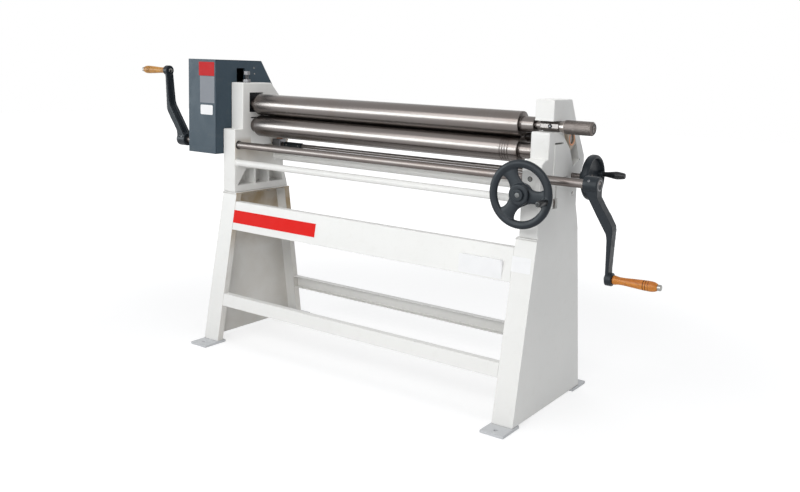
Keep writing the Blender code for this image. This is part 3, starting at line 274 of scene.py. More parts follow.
def knurled(name, colour, roughness, centre, count, pitch):
    """Diamond knurl round an axis along X, dark between the points."""
    finish = Finish(name, colour, roughness, 1.0)
    split = finish.add("SeparateXYZ")
    finish.link(finish.place, split.inputs[0])
    around = finish.maths("ARCTAN2", finish.maths("SUBTRACT", split.outputs[2], centre[1]),
        finish.maths("SUBTRACT", split.outputs[1], centre[0]))
    turn = finish.maths("MULTIPLY", around, count / 2)
    run = finish.maths("MULTIPLY", split.outputs[0], pi / pitch)
    one, two = (finish.maths("ABSOLUTE", finish.maths("SINE", finish.maths(way, turn, run)))
        for way in ("ADD", "SUBTRACT"))
    height = finish.maths("MULTIPLY", one, two)
    tint = finish.blend(finish.ramp(height, 0.05, 0.55), shade(colour, 0.35), shade(colour, 1.15))
    wear = finish.ramp(finish.noise(24, 5), 0.45, 0.7, 0, 0.5)
    finish.paint(finish.blend(wear, tint, shade(colour, 0.8)))
    finish.rough(finish.noise(60, 4), 0.08)
    finish.bump(height, 0.0003, 0.8)
    return finish.material


def casting(name, colour, roughness):
    """Sand casting under a thin dark paint, rubbed a little lighter in places."""
    return layered(
        name, colour, roughness, [((16, 6, EVEN, 0.4), 0.5, 0.8, 0.45, shade(colour, 1.7))],
        ((60, 4), 0.08), [((330, 3), 0.00018, 0.5), ((70, 2), 0.00035, 0.4)],
        Specular_IOR_Level=0.2).material


def moulded(name, colour, roughness):
    return layered(
        name, colour, roughness, [((45, 5), 0.4, 0.7, 1, shade(colour, 1.7))],
        ((90, 3), 0.06), [((700, 2), 0.00005, 0.6)], Specular_IOR_Level=0.3).material


def film(name, colour, roughness):
    """Plain film or thin plate."""
    return layered(
        name, colour, roughness, [((26, 4), 0.35, 0.7, 1, shade(colour, 0.97))],
        ((40, 4), 0.05), [((300, 2), 0.00003, 0.5)], Specular_IOR_Level=0.06).material


def varnished_wood(name, light, middle, dark):
    """Turned hardwood: grain along X, darker pores, a coat of varnish."""
    grain = (1, 6, (7, 120, 120), 0.8)
    return layered(
        name, light, 0.45,
        [(grain, 0.35, 0.65, 1, middle), ((1, 4, (16, 40, 40), 1.4), 0.52, 0.72, 0.7, dark),
        ((1, 3, (60, 900, 900)), 0.58, 0.7, 0.5, shade(dark, 0.7))],
        (grain, 0.06), [(grain, 0.0001, 0.5)],
        Coat_Weight=0.08, Coat_Roughness=0.2, Specular_IOR_Level=0.3).material


white = enamel("white_enamel", WHITE_PAINT, 0.38)
# The left leg and housing get brown painted shade on their inner faces: up the leg's hollow, and just
# under the drive shaft on the housing.
leg_shaded_white = enamel("leg_shaded_white", WHITE_PAINT, 0.38, painted_shade=(0.36, 0.56, 0.25, 1, 0.9, 1))
housing_shaded_white = enamel("housing_shaded_white", WHITE_PAINT, 0.38, painted_shade=(0.75, 0.83, 0.1, 0.7, 0.85, 0.88))
foot_white = enamel("foot_enamel", (0.57, 0.58, 0.59), 0.42)
slate = enamel("slate_enamel", (0.044, 0.066, 0.086), 0.46, (0.1, 0.11, 0.11), 0.25, 0.02)
block_tan = enamel("block_primer", (0.5, 0.42, 0.33), 0.42, (0.3, 0.2, 0.12), 0.3)
red = film("red_film", (0.72, 0.008, 0.004), 0.46)
label_red = film("label_red", (0.5, 0.012, 0.014), 0.44)
label_silver = film("label_silver", (0.25, 0.265, 0.29), 0.45)
badge = film("badge_white", (0.86, 0.86, 0.86), 0.32)
burnt = film("burnt_line", (0.045, 0.018, 0.008), 0.5)
ground = round_steel("ground_steel", (0.178, 0.16, 0.152), 0.27, 300)
shaft_finish = round_steel("shaft_steel", (0.17, 0.15, 0.142), 0.36, 500, True)
turned_steel = round_steel("turned_steel", (0.4, 0.365, 0.345), 0.28, 900)
dull_steel = plain_metal("dull_steel", (0.1, 0.1, 0.1), 0.45, 120)
gear_finish = plain_metal("gear_steel", (0.22, 0.22, 0.23), 0.42)
zinc = plain_metal("zinc_steel", (0.33, 0.325, 0.31), 0.34)
bronze = plain_metal("bronze", (0.5, 0.2, 0.09), 0.4)
grip_knurl = knurled("knurl_steel", (0.18, 0.157, 0.146), 0.33, (SHIFT.y, 1.017), 84, 0.0018)
iron = casting("dark_iron", (0.014, 0.0185, 0.0235), 0.4)
pocket_black = casting("pocket_black", NEAR_BLACK, 0.6)
plastic = moulded("black_plastic", NEAR_BLACK, 0.3)
wood_right = varnished_wood("grip_wood_right", (0.62, 0.235, 0.032), (0.44, 0.135, 0.016),
    (0.22, 0.056, 0.009))
wood_left = varnished_wood("grip_wood_left", (0.62, 0.31, 0.058), (0.42, 0.185, 0.028),
    (0.16, 0.056, 0.012))


# Shapes
WELD = 1e-6
NODE_WELD = 1e-5
SLAB_MARGIN = 0.00005
ROUND_STEPS = 72
SMOOTH_ANGLE = 35
CORNER_REACH = 0.48
AXIS_X = (1, 0, 0)
AXIS_Y = (0, 1, 0)
AXIS_Z = (0, 0, 1)
TO_LEFT = (-1, 0, 0)
TO_FRONT = (0, -1, 0)


def soften(points, radius, closed=False, steps=4):
    """Outline with its corners rounded off; a point's third number is a radius of its own."""
    result = []
    for i, point in enumerate(points):
        here = Vector(point[:2])
        own = point[2] if len(point) > 2 else radius
        if not own or (not closed and i in (0, len(points) - 1)):
            result.append(here)
            continue
        before = Vector(points[i - 1][:2]) - here
        after = Vector(points[(i + 1) % len(points)][:2]) - here
        reach = min(own, before.length * CORNER_REACH, after.length * CORNER_REACH)
        start = here + before.normalized() * reach
        end = here + after.normalized() * reach
        for step in range(steps + 1):
            t = step / steps
            result.append(start.lerp(here, t).lerp(here.lerp(end, t), t))
    return result


def loft(shape, rings, closed=False, caps=True):
    """Skin through rings of points; a ring of one point is a tip."""
    rows = [[shape.verts.new(point) for point in ring] for ring in rings]
    pairs = list(zip(rows, rows[1:]))
    if closed:
        pairs.append((rows[-1], rows[0]))
    for first, second in pairs:
        for i in range(max(len(first), len(second))):
            if len(first) == 1:
                shape.faces.new([first[0], second[i], second[i - 1]])
            elif len(second) == 1:
                shape.faces.new([first[i - 1], first[i], second[0]])
            else:
                shape.faces.new([first[i - 1], first[i], second[i], second[i - 1]])
    if caps and not closed:
        for row in (rows[0], rows[-1]):
            if len(row) > 2:
                shape.faces.new(row)


def basis(axis):
    along = Vector(axis).normalized()
    across = Vector(AXIS_X if abs(along.y) > 0.9 or abs(along.z) > 0.9 else AXIS_Y)
    across = (across - along * across.dot(along)).normalized()
    return along, across, along.cross(across)


def ring_points(centre, axis, place, radius, steps=ROUND_STEPS):
    """Circle round an axis; radius is a number, or a function of the turn."""
    along, across, beyond = basis(axis)
    middle = Vector(centre) + along * place
    if not callable(radius) and radius < WELD:
        return [middle]
    ring = []
    for i in range(steps):
        turn = 2 * pi * i / steps
        reach = radius(turn) if callable(radius) else radius
        ring.append(middle + (across * cos(turn) + beyond * sin(turn)) * reach)
    return ring


def lathe(shape, profile, centre, axis=AXIS_X, steps=ROUND_STEPS, closed=False, corner=0.0):
    """Turned skin through points of radius and place along the axis, their corners softened."""
    loft(shape, [ring_points(centre, axis, place, radius, steps)
        for radius, place in soften(profile, corner, closed)], closed, caps=False)


def band(inner, outer, start, end, corner=0):
    """Profile of a ring, or of a rod when inner is 0."""
    return [(inner, start, 0), (outer, start, corner), (outer, end, corner), (inner, end, 0)]


def slab(shape, outline, axis, start, end):
    """Extruded outline: on "x" its points are y, z, and on "y" x, z."""
    order = {"x": lambda s, p: (s, p[0], p[1]), "y": lambda s, p: (p[0], s, p[1])}[axis]
    loft(shape, [[order(station, point) for point in outline] for station in (start, end)])


def rectangle(middle, half, radius):
    corners = [(middle[0] + i * half[0], middle[1] + j * half[1])
        for i, j in ((-1, -1), (1, -1), (1, 1), (-1, 1))]
    return soften(corners, radius, True, 6)


def hexagonal(apothem, limit=1.0):
    """A hexagon's radius as a function of the turn, cut off at a limit."""
    return lambda turn: min(limit, apothem / cos((turn + pi / 6) % (pi / 3) - pi / 6))


def hexagon(shape, centre, axis, flats, start, end, bore=0.0, both=False):
    """Hexagon head or nut whose corners are turned off at its end, or at both."""
    apothem = flats / 2
    chamfer = 0.12 * apothem * (1 if end > start else -1)
    limits = [(chamfer * (1 - share), apothem * (1.16 - 0.2 * share))
        for share in (0, 0.25, 0.5, 0.75, 1)]
    levels = [(end - inset, limit) for inset, limit in limits]
    if both:
        levels = [(start + inset, limit) for inset, limit in reversed(limits)] + levels
    else:
        levels.insert(0, (start, apothem * 1.16))
    rings = [ring_points(centre, axis, place, hexagonal(apothem, limit)) for place, limit in levels]
    if bore:
        rings.append(ring_points(centre, axis, end, bore))
        rings.insert(0, ring_points(centre, axis, start, bore))
    loft(shape, rings, closed=bool(bore))


def socket_screw(shape, centre, axis, radius, top, height=0.003):
    """Screw end or head with a hexagon socket sunk in it."""
    socket = hexagonal(radius * 0.433)
    loft(shape, [ring_points(centre, axis, place, reach, 24) for place, reach in (
        (top - height, radius * 0.98), (top - radius * 0.12, radius), (top, radius * 0.86),
        (top, socket), (top - height * 0.6, socket))])


def dome(shape, centre, axis, radius, height):
    profile = [(radius * cos(turn), height * sin(turn)) for turn in (pi / 8, pi / 4, 3 * pi / 8)]
    lathe(shape, [(radius, -0.0004), (radius, 0), *profile, (0, height)], centre, axis, 24)


def thread(shape, centre, axis, radius, depth, pitch, start, end, steps=36):
    """Rod with a helical thread."""
    count = max(2, round(abs(end - start) / pitch * 6))
    rings = []
    for i in range(count + 1):
        place = start + (end - start) * i / count

        def crest(turn, place=place):
            wave = (place / pitch - turn / (2 * pi)) % 1
            return radius - depth * abs(2 * wave - 1)

        rings.append(ring_points(centre, axis, place, crest, steps))
    loft(shape, rings)


# Pieces
def piece(name, shape, body, finish, *replaced, angle=SMOOTH_ANGLE):
    """Object from a shape in machine coordinates, which rides on a body and may stand for nodes."""
    bmesh.ops.remove_doubles(shape, verts=shape.verts, dist=WELD)
    bmesh.ops.recalc_face_normals(shape, faces=shape.faces)
    bmesh.ops.translate(shape, verts=shape.verts, vec=SHIFT)
    return link_piece(name, shape, body, finish, replaced, angle)


def link_piece(name, shape, body, finish, replaced, angle=SMOOTH_ANGLE):
    mesh = bpy.data.meshes.new(name)
    shape.to_mesh(mesh)
    shape.free()
    mesh.materials.append(finish)
    mesh.shade_smooth()
    mesh.set_sharp_from_angle(angle=radians(angle))
    thing = add_object(name, mesh)
    if replaced:
        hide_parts(*replaced)
    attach(thing, body)
    return thing


def turned(name, body, finish, centre, profile, *replaced, angle=SMOOTH_ANGLE, **how):
    """A piece that is one turned shape; how is what lathe takes."""
    shape = bmesh.new()
    lathe(shape, profile, centre, **how)
    piece(name, shape, body, finish, *replaced, angle=angle)


def bevel_edges(thing, width, segments, least):
    bevel = thing.modifiers.new("edges", "BEVEL")
    bevel.width = width
    bevel.segments = segments
    bevel.limit_method = "ANGLE"
    bevel.angle_limit = radians(least)
    return bevel


def dress(name, finish, width):
    """A node's own shape with its edges rounded over."""
    shape = bmesh.new()
    shape.from_mesh(nodes[name].data)
    bmesh.ops.remove_doubles(shape, verts=shape.verts, dist=NODE_WELD)
    thing = link_piece(name + "_skin", shape, nodes[name]["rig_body"], finish, [name])
    bevel = bevel_edges(thing, width, 3, SMOOTH_ANGLE)
    bevel.use_clamp_overlap = False
    bevel.miter_outer = "MITER_ARC"
    thing.modifiers.new("normals", "WEIGHTED_NORMAL").keep_sharp = True


def rounded(name, finish, outline, width):
    """A node's own shape inside a slightly larger slab along X whose edges are rounded over."""
    low, high = place_of(name)
    shape = bmesh.new()
    slab(shape, outline, "x", low.x - SLAB_MARGIN, high.x + SLAB_MARGIN)
    thing = piece(name + "_skin", shape, nodes[name]["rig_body"], finish, name)
    bevel_edges(thing, width, 4, 15)
    meet = thing.modifiers.new("openings", "BOOLEAN")
    meet.operation = "INTERSECT"
    meet.solver = "EXACT"
    meet.object = nodes[name]


def cast(name, shape, body, finish, *replaced, passes=5):
    """Overlapping closed shells fused into one soft-edged casting."""
    thing = piece(name, shape, body, finish, *replaced)
    remesh = thing.modifiers.new("fuse", "REMESH")
    remesh.mode = "VOXEL"
    remesh.voxel_size = 0.0016
    remesh.use_smooth_shade = True
    smooth = thing.modifiers.new("flow", "SMOOTH")
    smooth.factor = 0.5
    smooth.iterations = passes


def place_of(name):
    """A node's lowest and highest corner, in machine coordinates."""
    low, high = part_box(name)
    return low - SHIFT, high - SHIFT


def centre_of(name):
    low, high = place_of(name)
    return (low + high) / 2


# Places read from the frame
(inner_x, _, housing_base), (outer_x, _, housing_top) = place_of("housing_right")
middle_x = (inner_x + outer_x) / 2
top_z = centre_of("top_roll").z
bottom_z = centre_of("bottom_roll").z
rear_axis = (0, *centre_of("rear_roll").yz)
roll_radius = (place_of("top_roll")[1].z - place_of("top_roll")[0].z) / 2
drive_axis = (0, *centre_of("drive_shaft").yz)
lift_axis = (0, *centre_of("lift_shaft").yz)
on_top_roll = (0, 0, top_z)

# Rolls
ROLL_GAP_LEFT = 0.0322
ROLL_GAP_RIGHT = 0.0678
COLLAR_LENGTH = 0.052
COLLAR_RADIUS = 0.028
NECK_RADIUS = 0.017
NECK_RECESS = 0.0145
FLAT_HALF = 0.015
FLAT_START = 0.69
SHOULDER_RADIUS = 0.03
JOURNAL_RADIUS = 0.024
GEAR_SEAT_RADIUS = 0.018
BOTTOM_JOURNAL_RADIUS = 0.02
REAR_JOURNAL_RADIUS = 0.018
GROOVES = (0.581, 0.5705, 0.5605, 0.551)
GROOVE_HALF = 0.0022
GROOVE_DEPTH = 0.0022
PIN_REACH = 0.017
SEAT_GAP = 0.0003
ROLL_CORNER = 0.0006
roll_left = -inner_x + ROLL_GAP_LEFT
roll_right = inner_x - ROLL_GAP_RIGHT
collar_end = roll_right + COLLAR_LENGTH
journal_end = -inner_x + SEAT_GAP
seat_end, seat_start = (corner.x for corner in place_of("top_roll_gear"))
seat_start += SEAT_GAP
seat_end -= SEAT_GAP
neck_end = outer_x + 0.0025


def roll_left_end(journal):
    """Left end of a pinch roll's profile, from the barrel to the gear's seat."""
    return [(roll_radius, roll_left, 0.002), (SHOULDER_RADIUS, roll_left, 0.001),
        (SHOULDER_RADIUS, journal_end), (journal, journal_end), (journal, seat_start),
        (GEAR_SEAT_RADIUS, seat_start), (GEAR_SEAT_RADIUS, seat_end, 0.001), (0, seat_end)]


def make_top_roll():
    shape = bmesh.new()
    lathe(shape, [
        (0, neck_end + 0.002), (NECK_RECESS * 0.5, neck_end + 0.002), (NECK_RECESS * 0.5, neck_end),
        (NECK_RADIUS, neck_end, 0.0016), (NECK_RADIUS, FLAT_START, 0),
        (NECK_RADIUS, FLAT_START - 0.0005, 0), (NECK_RADIUS, inner_x, 0),
        (NECK_RECESS, inner_x - 0.001, 0), (NECK_RECESS, collar_end, 0),
        (COLLAR_RADIUS, collar_end, 0.002), (COLLAR_RADIUS, roll_right, 0.001),
        (roll_radius, roll_right, 0.002), *roll_left_end(JOURNAL_RADIUS)], on_top_roll,
        corner=ROLL_CORNER)
    for vert in shape.verts:
        if vert.co.x > FLAT_START - 0.0002 and abs(vert.co.y) > FLAT_HALF:
            vert.co.y = FLAT_HALF if vert.co.y > 0 else -FLAT_HALF
    piece("top_roll_turned", shape, "top_roll_set", ground, "top_roll")


def make_cross_pin():
    """Pin through the neck, with a dome at each end and a dark ring round it painted as the shade of a
    counterbore.
    """
    centre = (centre_of("grip_pin").x, 0, top_z)
    turned("cross_pin", "top_roll_set", pocket_black, centre, [
        (0, -PIN_REACH), (0.005, -0.0164, 0.001), (0.0058, -0.015), (0.0058, 0.015),
        (0.005, 0.0164, 0.001), (0, PIN_REACH)], "grip_pin", axis=AXIS_Y, steps=32, corner=0.0003)
    tips = bmesh.new()
    counterbore_shade = bmesh.new()
    for side in (-1, 1):
        lathe(tips, [(0.003, side * 0.0166), (0.003, side * 0.0171), (0.0018, side * 0.0174),
            (0, side * 0.0174)], centre, AXIS_Y, 24)
        # Dark ring painted on the flat as the shade of a counterbore round the pin
        face = side * FLAT_HALF
        lathe(counterbore_shade, band(0.006, 0.0078, face, face + side * 0.0002), centre, AXIS_Y, 40, closed=True)
    piece("cross_pin_tips", tips, "top_roll_set", gear_finish)
    piece("cross_pin_counterbore_shade", counterbore_shade, "top_roll_set", pocket_black)


def make_swing_grip():
    low, high = place_of("swing_grip")
    radius = (high.z - low.z) / 2
    cone_end = low.x + 0.02
    end = high.x
    turned("swing_grip_cone", "top_roll_set", turned_steel, on_top_roll, [
        (0, low.x), (NECK_RADIUS, low.x, 0.0008), (radius - 0.0004, cone_end - 0.0012, 0.001),
        (radius - 0.0014, cone_end, 0.0004), (0, cone_end)], corner=0.0003)
    turned("swing_grip_barrel", "top_roll_set", grip_knurl, on_top_roll, [
        (0, cone_end), (radius - 0.0016, cone_end), (radius, cone_end + 0.0014, 0.0006),
        (radius, end - 0.005, 0.0012), (radius - 0.0052, end, 0.001), (0.0052, end, 0.0006),
        (0.0022, end - 0.0022), (0, end - 0.003)], "swing_grip", steps=96, corner=0.0003)
    turned("swing_grip_ring", "top_roll_set", pocket_black, on_top_roll,
        band(0.0135, 0.0165, end - 0.0004, end + 0.0003), closed=True)


def make_bottom_roll():
    end = place_of("bottom_roll")[1].x
    shoulder = inner_x - SEAT_GAP
    floor = roll_radius - GROOVE_DEPTH
    profile = [(0, end), (BOTTOM_JOURNAL_RADIUS, end, 0.0025), (BOTTOM_JOURNAL_RADIUS, shoulder),
        (SHOULDER_RADIUS, shoulder, 0.0015), (SHOULDER_RADIUS, roll_right, 0.001),
        (roll_radius, roll_right, 0.002)]
    for groove in GROOVES:
        for way in (1, -1):
            profile += [(roll_radius, groove + way * GROOVE_HALF, 0.0004),
                (floor, groove + way * GROOVE_HALF / 2, 0.001)][::way]
    turned("bottom_roll_turned", "bottom_roll_set", ground, (0, 0, bottom_z),
        profile + roll_left_end(BOTTOM_JOURNAL_RADIUS), "bottom_roll", corner=ROLL_CORNER)


def make_rear_roll():
    low, high = place_of("rear_roll")
    turned("rear_roll_turned", "rear_roll_set", ground, rear_axis, [
        (0, high.x), (REAR_JOURNAL_RADIUS, high.x, 0.002), (REAR_JOURNAL_RADIUS, roll_right),
        (roll_radius, roll_right, 0.002), (roll_radius, roll_left, 0.002),
        (REAR_JOURNAL_RADIUS, roll_left), (REAR_JOURNAL_RADIUS, low.x, 0.002), (0, low.x)],
        "rear_roll", corner=ROLL_CORNER)
    for hand, sign in (("left", -1), ("right", 1)):
        face = place_of("rear_block_" + hand)[sign > 0].x
        back = face - sign * 0.002
        front = face + sign * 0.0006
        turned("rear_bush_" + hand, "lift_carriage", bronze, rear_axis, [
            (0.0184, back), (0.0184, front, 0.0003), (0.0232, front, 0.0003), (0.0232, back)
        ], closed=True)


make_top_roll()
make_cross_pin()
make_swing_grip()
make_bottom_roll()
make_rear_roll()

# Shafts, tubes and bushes
LIFT_SHAFT_RADIUS = 0.009
LIFT_WORM_RADIUS = 0.015
LIFT_WORM_HALF = 0.0195
LIFT_WORM_PITCH = 0.0095
SLEEVE_RADIUS = 0.0125
SLEEVE_START = -outer_x + 0.13
SLEEVE_LENGTH = 0.1
BUSH_BORE = 0.0153
BUSH_RADIUS = 0.0172
FLANGE_RADIUS = 0.0182


def bar(shape, name, radius=0.0, steps=ROUND_STEPS):
    """Round bar over a node's length along X, with chamfered, centre-drilled ends."""
    low, high = place_of(name)
    radius = radius or (high.z - low.z) / 2
    drill = radius * 0.28
    lathe(shape, [(0, low.x + drill), (drill, low.x), (radius, low.x, 0.0015), (radius, high.x, 0.0015),
        (drill, high.x), (0, high.x - drill)], (0, *centre_of(name).yz), steps=steps, corner=0.0003)


def make_bars():
    shape = bmesh.new()
    bar(shape, "drive_shaft")
    piece("drive_shaft_bar", shape, "drive_set", shaft_finish, "drive_shaft")
    for name in ("front_tie_tube", "rear_tie_tube"):
        shape = bmesh.new()
        bar(shape, name)
        for side in (-1, 1):
            start = side * (inner_x - 0.0004)
            lathe(shape, [(0.0142, start, 0), (0.0182, start), (0.0166, start - side * 0.0016, 0.001),
                (0.0141, start - side * 0.004, 0)], (0, *centre_of(name).yz), closed=True,
                corner=0.0005)
        piece(name + "_painted", shape, "stand", white, name)
    for name, toward in (("shaft_bush_left", 1), ("shaft_bush_right", -1)):
        back, face = (end.x for end in place_of(name)[::toward])
        step = face - toward * 0.0029
        turned(name + "_turned", "stand", dull_steel, drive_axis, [
            (BUSH_BORE, face), (FLANGE_RADIUS, face, 0.001), (FLANGE_RADIUS, step), (BUSH_RADIUS, step),
            (BUSH_RADIUS, back), (BUSH_BORE, back)], name, closed=True, corner=0.0004)


def make_lift_shaft():
    shape = bmesh.new()
    bar(shape, "lift_shaft", LIFT_SHAFT_RADIUS, 48)
    piece("lift_shaft_bar", shape, "lift_shaft_set", shaft_finish, "lift_shaft")
    shape = bmesh.new()
    for worm_x in (-middle_x, middle_x):
        thread(shape, lift_axis, AXIS_X, LIFT_WORM_RADIUS, 0.005, LIFT_WORM_PITCH,
            worm_x - LIFT_WORM_HALF, worm_x + LIFT_WORM_HALF, 48)
    piece("lift_worms", shape, "lift_shaft_set", gear_finish)
    end = SLEEVE_START + SLEEVE_LENGTH
    turned("coupling_sleeve", "lift_shaft_set", iron, lift_axis,
        band(LIFT_SHAFT_RADIUS, SLEEVE_RADIUS, SLEEVE_START, end, 0.0015), closed=True)
    shape = bmesh.new()
    for place in (SLEEVE_START + SLEEVE_LENGTH * 0.16, end - SLEEVE_LENGTH * 0.16):
        socket_screw(shape, (place, *lift_axis[1:]), TO_FRONT, 0.003, SLEEVE_RADIUS + 0.0006)
    piece("sleeve_screws", shape, "lift_shaft_set", zinc)


make_bars()
make_lift_shaft()

# Cranks
# Arm stations, near and far side: reach from the hub's inner face and distance from the shaft
ARM_STATIONS = (((0.0049, -0.0061), (0.05, -0.0061)), ((0.0049, 0.02), (0.05, 0.03)),
    ((0.012, 0.0279), (0.05, 0.0379)), ((0.025, 0.0521), (0.0665, 0.066)),
    ((0.055, 0.1039), (0.086, 0.095)), ((0.084, 0.1521), (0.104, 0.1261)),
    ((0.087, 0.17), (0.106, 0.1409)), ((0.0875, 0.223), (0.102, 0.2079)),
    ((0.0872, 0.265), (0.099, 0.265)), ((0.087, 0.303), (0.099, 0.303)))
ARM_WIDTH_HUB = 0.044
ARM_WIDTH_BOSS = 0.037
CHANNEL_LIP = 0.0065
CHANNEL_DEPTH = 0.0075
CRANK_RADIUS = 0.303
CRANK_TILTS = {1: radians(3.05), -1: radians(5.5)}
HUB_LENGTH = 0.05
HUB_RADIUS = 0.028
BOSS_RADIUS = 0.022
BOSS_LENGTH = 0.024
BOSS_OFFSET = 0.097
WOOD_LENGTH = 0.148
WOOD_RADIUS = 0.017
WOOD_GAP = 0.0003
SPINDLE_RADIUS = 0.005
SPINDLE_TIP_RADIUS = 0.01
SPINDLE_TIP_LENGTH = 0.012
crank_start = outer_x + 0.1985
hub_end = crank_start + HUB_LENGTH
boss_start = crank_start + BOSS_OFFSET - BOSS_LENGTH / 2
boss_end = boss_start + BOSS_LENGTH
wood_start = boss_end + WOOD_GAP

# Shares of the wood's length and of its widest radius
WOOD_SHARES = ((0, 0.7), (0.01, 0.84), (0.035, 0.9), (0.065, 0.88), (0.1, 0.8), (0.15, 0.745),
    (0.22, 0.735), (0.32, 0.77), (0.45, 0.85), (0.56, 0.91), (0.69, 0.965), (0.698, 0.925),
    (0.706, 0.97), (0.745, 0.985), (0.753, 0.945), (0.761, 0.988), (0.8, 0.998),
    (0.808, 0.955), (0.816, 1), (0.86, 0.995), (0.91, 0.95), (0.95, 0.86), (0.98, 0.74), (1, 0.6))
LINE_SHARES = (0.698, 0.753, 0.808)
LINE_RADIUS = WOOD_RADIUS * 0.975


def turn_crank(shape, side):
    """From the crank's own frame, on the shaft's middle, to where it stands."""
    place = Matrix.Translation(Vector((-SHIFT.x, *drive_axis[1:])))
    bmesh.ops.transform(shape, matrix=place @ Matrix.Rotation(CRANK_TILTS[side], 4, AXIS_X),
        verts=shape.verts)


def arm_section(share, inner, outer, side):
    """U section: plain back away from the machine, two lips towards it."""
    half = (ARM_WIDTH_HUB + (ARM_WIDTH_BOSS - ARM_WIDTH_HUB) * share) / 2
    depth = CHANNEL_DEPTH * min(1, max(0, (share - 0.13) / 0.1), max(0, (0.9 - share) / 0.1))
    lip = half - CHANNEL_LIP
    outline = soften([(-half, 0, 0.002), (-half, 1), (half, 1), (half, 0, 0.002), (lip, 0, 0.002),
        (lip - 0.003, depth, 0.003), (0, depth * 0.62, 0), (-lip + 0.003, depth, 0.003),
        (-lip, 0, 0.002)], 0, True, 3)
    near = Vector(inner)
    far = Vector(outer)
    span = (far - near).length
    way = (far - near) / span
    section = []
    for across, deep in outline:
        spot = near + way * (span if deep == 1 else deep)
        section.append((side * (crank_start + spot.x), across, -side * spot.y))
    return section


def make_crank(side, hand):
    """Cast arm with its hub and boss, and the hub's screw and ring."""
    axis = (side, 0, 0)
    count = len(ARM_STATIONS) - 1
    shape = bmesh.new()
    loft(shape, [arm_section(i / count, inner, outer, side)
        for i, (inner, outer) in enumerate(ARM_STATIONS)])
    for centre, radius, start, end in (((0, 0, 0), HUB_RADIUS, crank_start, hub_end),
            ((0, 0, -side * CRANK_RADIUS), BOSS_RADIUS, boss_start, boss_end)):
        lathe(shape, band(0, radius, start, end, 0.003), centre, axis)
    turn_crank(shape, side)
    cast("crank_cast_" + hand, shape, "drive_set", iron, "crank_" + hand)

    shape = bmesh.new()
    socket_screw(shape, (side * (crank_start + HUB_LENGTH * 0.42), 0, 0), (0, -0.82, 0.57), 0.0042,
        HUB_RADIUS + 0.0004)
    lathe(shape, [(0.015, hub_end - 0.002), (0.015, hub_end + 0.0006),
        (0.019, hub_end + 0.0006, 0.0005), (0.019, hub_end - 0.002)], (0, 0, 0), axis, 48, closed=True)
    turn_crank(shape, side)
    piece("crank_screw_" + hand, shape, "drive_set", gear_finish)


def make_grip(side, hand, wood):
    """Turned wooden grip with its burnt lines, on its spindle."""
    centre = (0, 0, -side * CRANK_RADIUS)
    axis = (side, 0, 0)
    bore = SPINDLE_RADIUS + 0.0004
    wood_end = wood_start + WOOD_LENGTH
    smooth = soften([(WOOD_RADIUS * width, wood_start + WOOD_LENGTH * share)
        for share, width in WOOD_SHARES], 0.0018, False, 3)
    shape = bmesh.new()
    lathe(shape, [(bore, wood_start), *smooth, (bore, wood_end)], centre, axis, closed=True)
    turn_crank(shape, side)
    piece("wood_grip_" + hand, shape, hand + "_grip", wood, "crank_grip_" + hand, angle=60)
    shape = bmesh.new()
    for share in LINE_SHARES:
        place = wood_start + WOOD_LENGTH * share
        lathe(shape, [(LINE_RADIUS - 0.001, place - 0.0009), (LINE_RADIUS, place - 0.001),
            (LINE_RADIUS, place + 0.001), (LINE_RADIUS - 0.001, place + 0.0009)], centre, axis,
            closed=True)
    turn_crank(shape, side)
    piece("wood_grip_lines_" + hand, shape, hand + "_grip", burnt)
    tip = wood_end + WOOD_GAP
    end = tip + SPINDLE_TIP_LENGTH
    shape = bmesh.new()
    lathe(shape, [(0, end), (SPINDLE_TIP_RADIUS, end, 0.004), (SPINDLE_TIP_RADIUS, tip, 0.0008),
        (SPINDLE_RADIUS, tip), (SPINDLE_RADIUS, boss_start), (0, boss_start)], centre, axis, 48)
    hexagon(shape, centre, axis, SPINDLE_TIP_RADIUS * 1.72, boss_start, boss_start - 0.005)
    turn_crank(shape, side)
    piece("spindle_" + hand, shape, "drive_set", zinc, "grip_spindle_" + hand)


for side, hand, wood in ((-1, "left", wood_left), (1, "right", wood_right)):
    make_crank(side, hand)
    make_grip(side, hand, wood)

# Front handwheel, in the plane of X and Z; its profiles run along Y from the wheel's middle
RIM_RADIUS = 0.115
RIM_WIDTH = 0.027
RIM_HALF = 0.0108
FRONT_HUB_RADIUS = 0.036
FRONT_HUB_HALF = 0.025
SPOKE_HALF = 0.0225
SPOKE_FLARE = 0.034
SPOKE_ROOT_FLARE = 0.014
SPOKE_THICK = 0.0065
SPOKE_RINGS = 12
SPOKE_STEPS = 24
SPOKE_TURNS = (radians(-5), radians(120), radians(236))
wheel = centre_of("front_handwheel")
front_handle = centre_of("front_handle")
front_handle.y = wheel.y


def spoke(shape, turn):
    """Flat oval spoke that widens into the rim and the hub."""
    way = Vector((cos(turn), 0, sin(turn)))
    side = Vector((-sin(turn), 0, cos(turn)))
    root = FRONT_HUB_RADIUS * 0.5
    length = RIM_RADIUS - RIM_WIDTH * 0.45 - root
    sections = []
    for i in range(SPOKE_RINGS + 1):
        share = i / SPOKE_RINGS
        width = (SPOKE_HALF + SPOKE_FLARE * (max(0, share - 0.45) / 0.55) ** 2.2
            + SPOKE_ROOT_FLARE * (max(0, 0.42 - share) / 0.42) ** 2)
        middle = wheel + Vector((0, 0.001, 0)) + way * (root + length * share)
        section = []
        for step in range(SPOKE_STEPS):
            angle = 2 * pi * step / SPOKE_STEPS
            across = cos(angle)
            section.append(middle + side * (width * abs(across) ** 0.8 * (1 if across > 0 else -1))
                + Vector(AXIS_Y) * (SPOKE_THICK * sin(angle)))
        sections.append(section)
    loft(shape, sections)


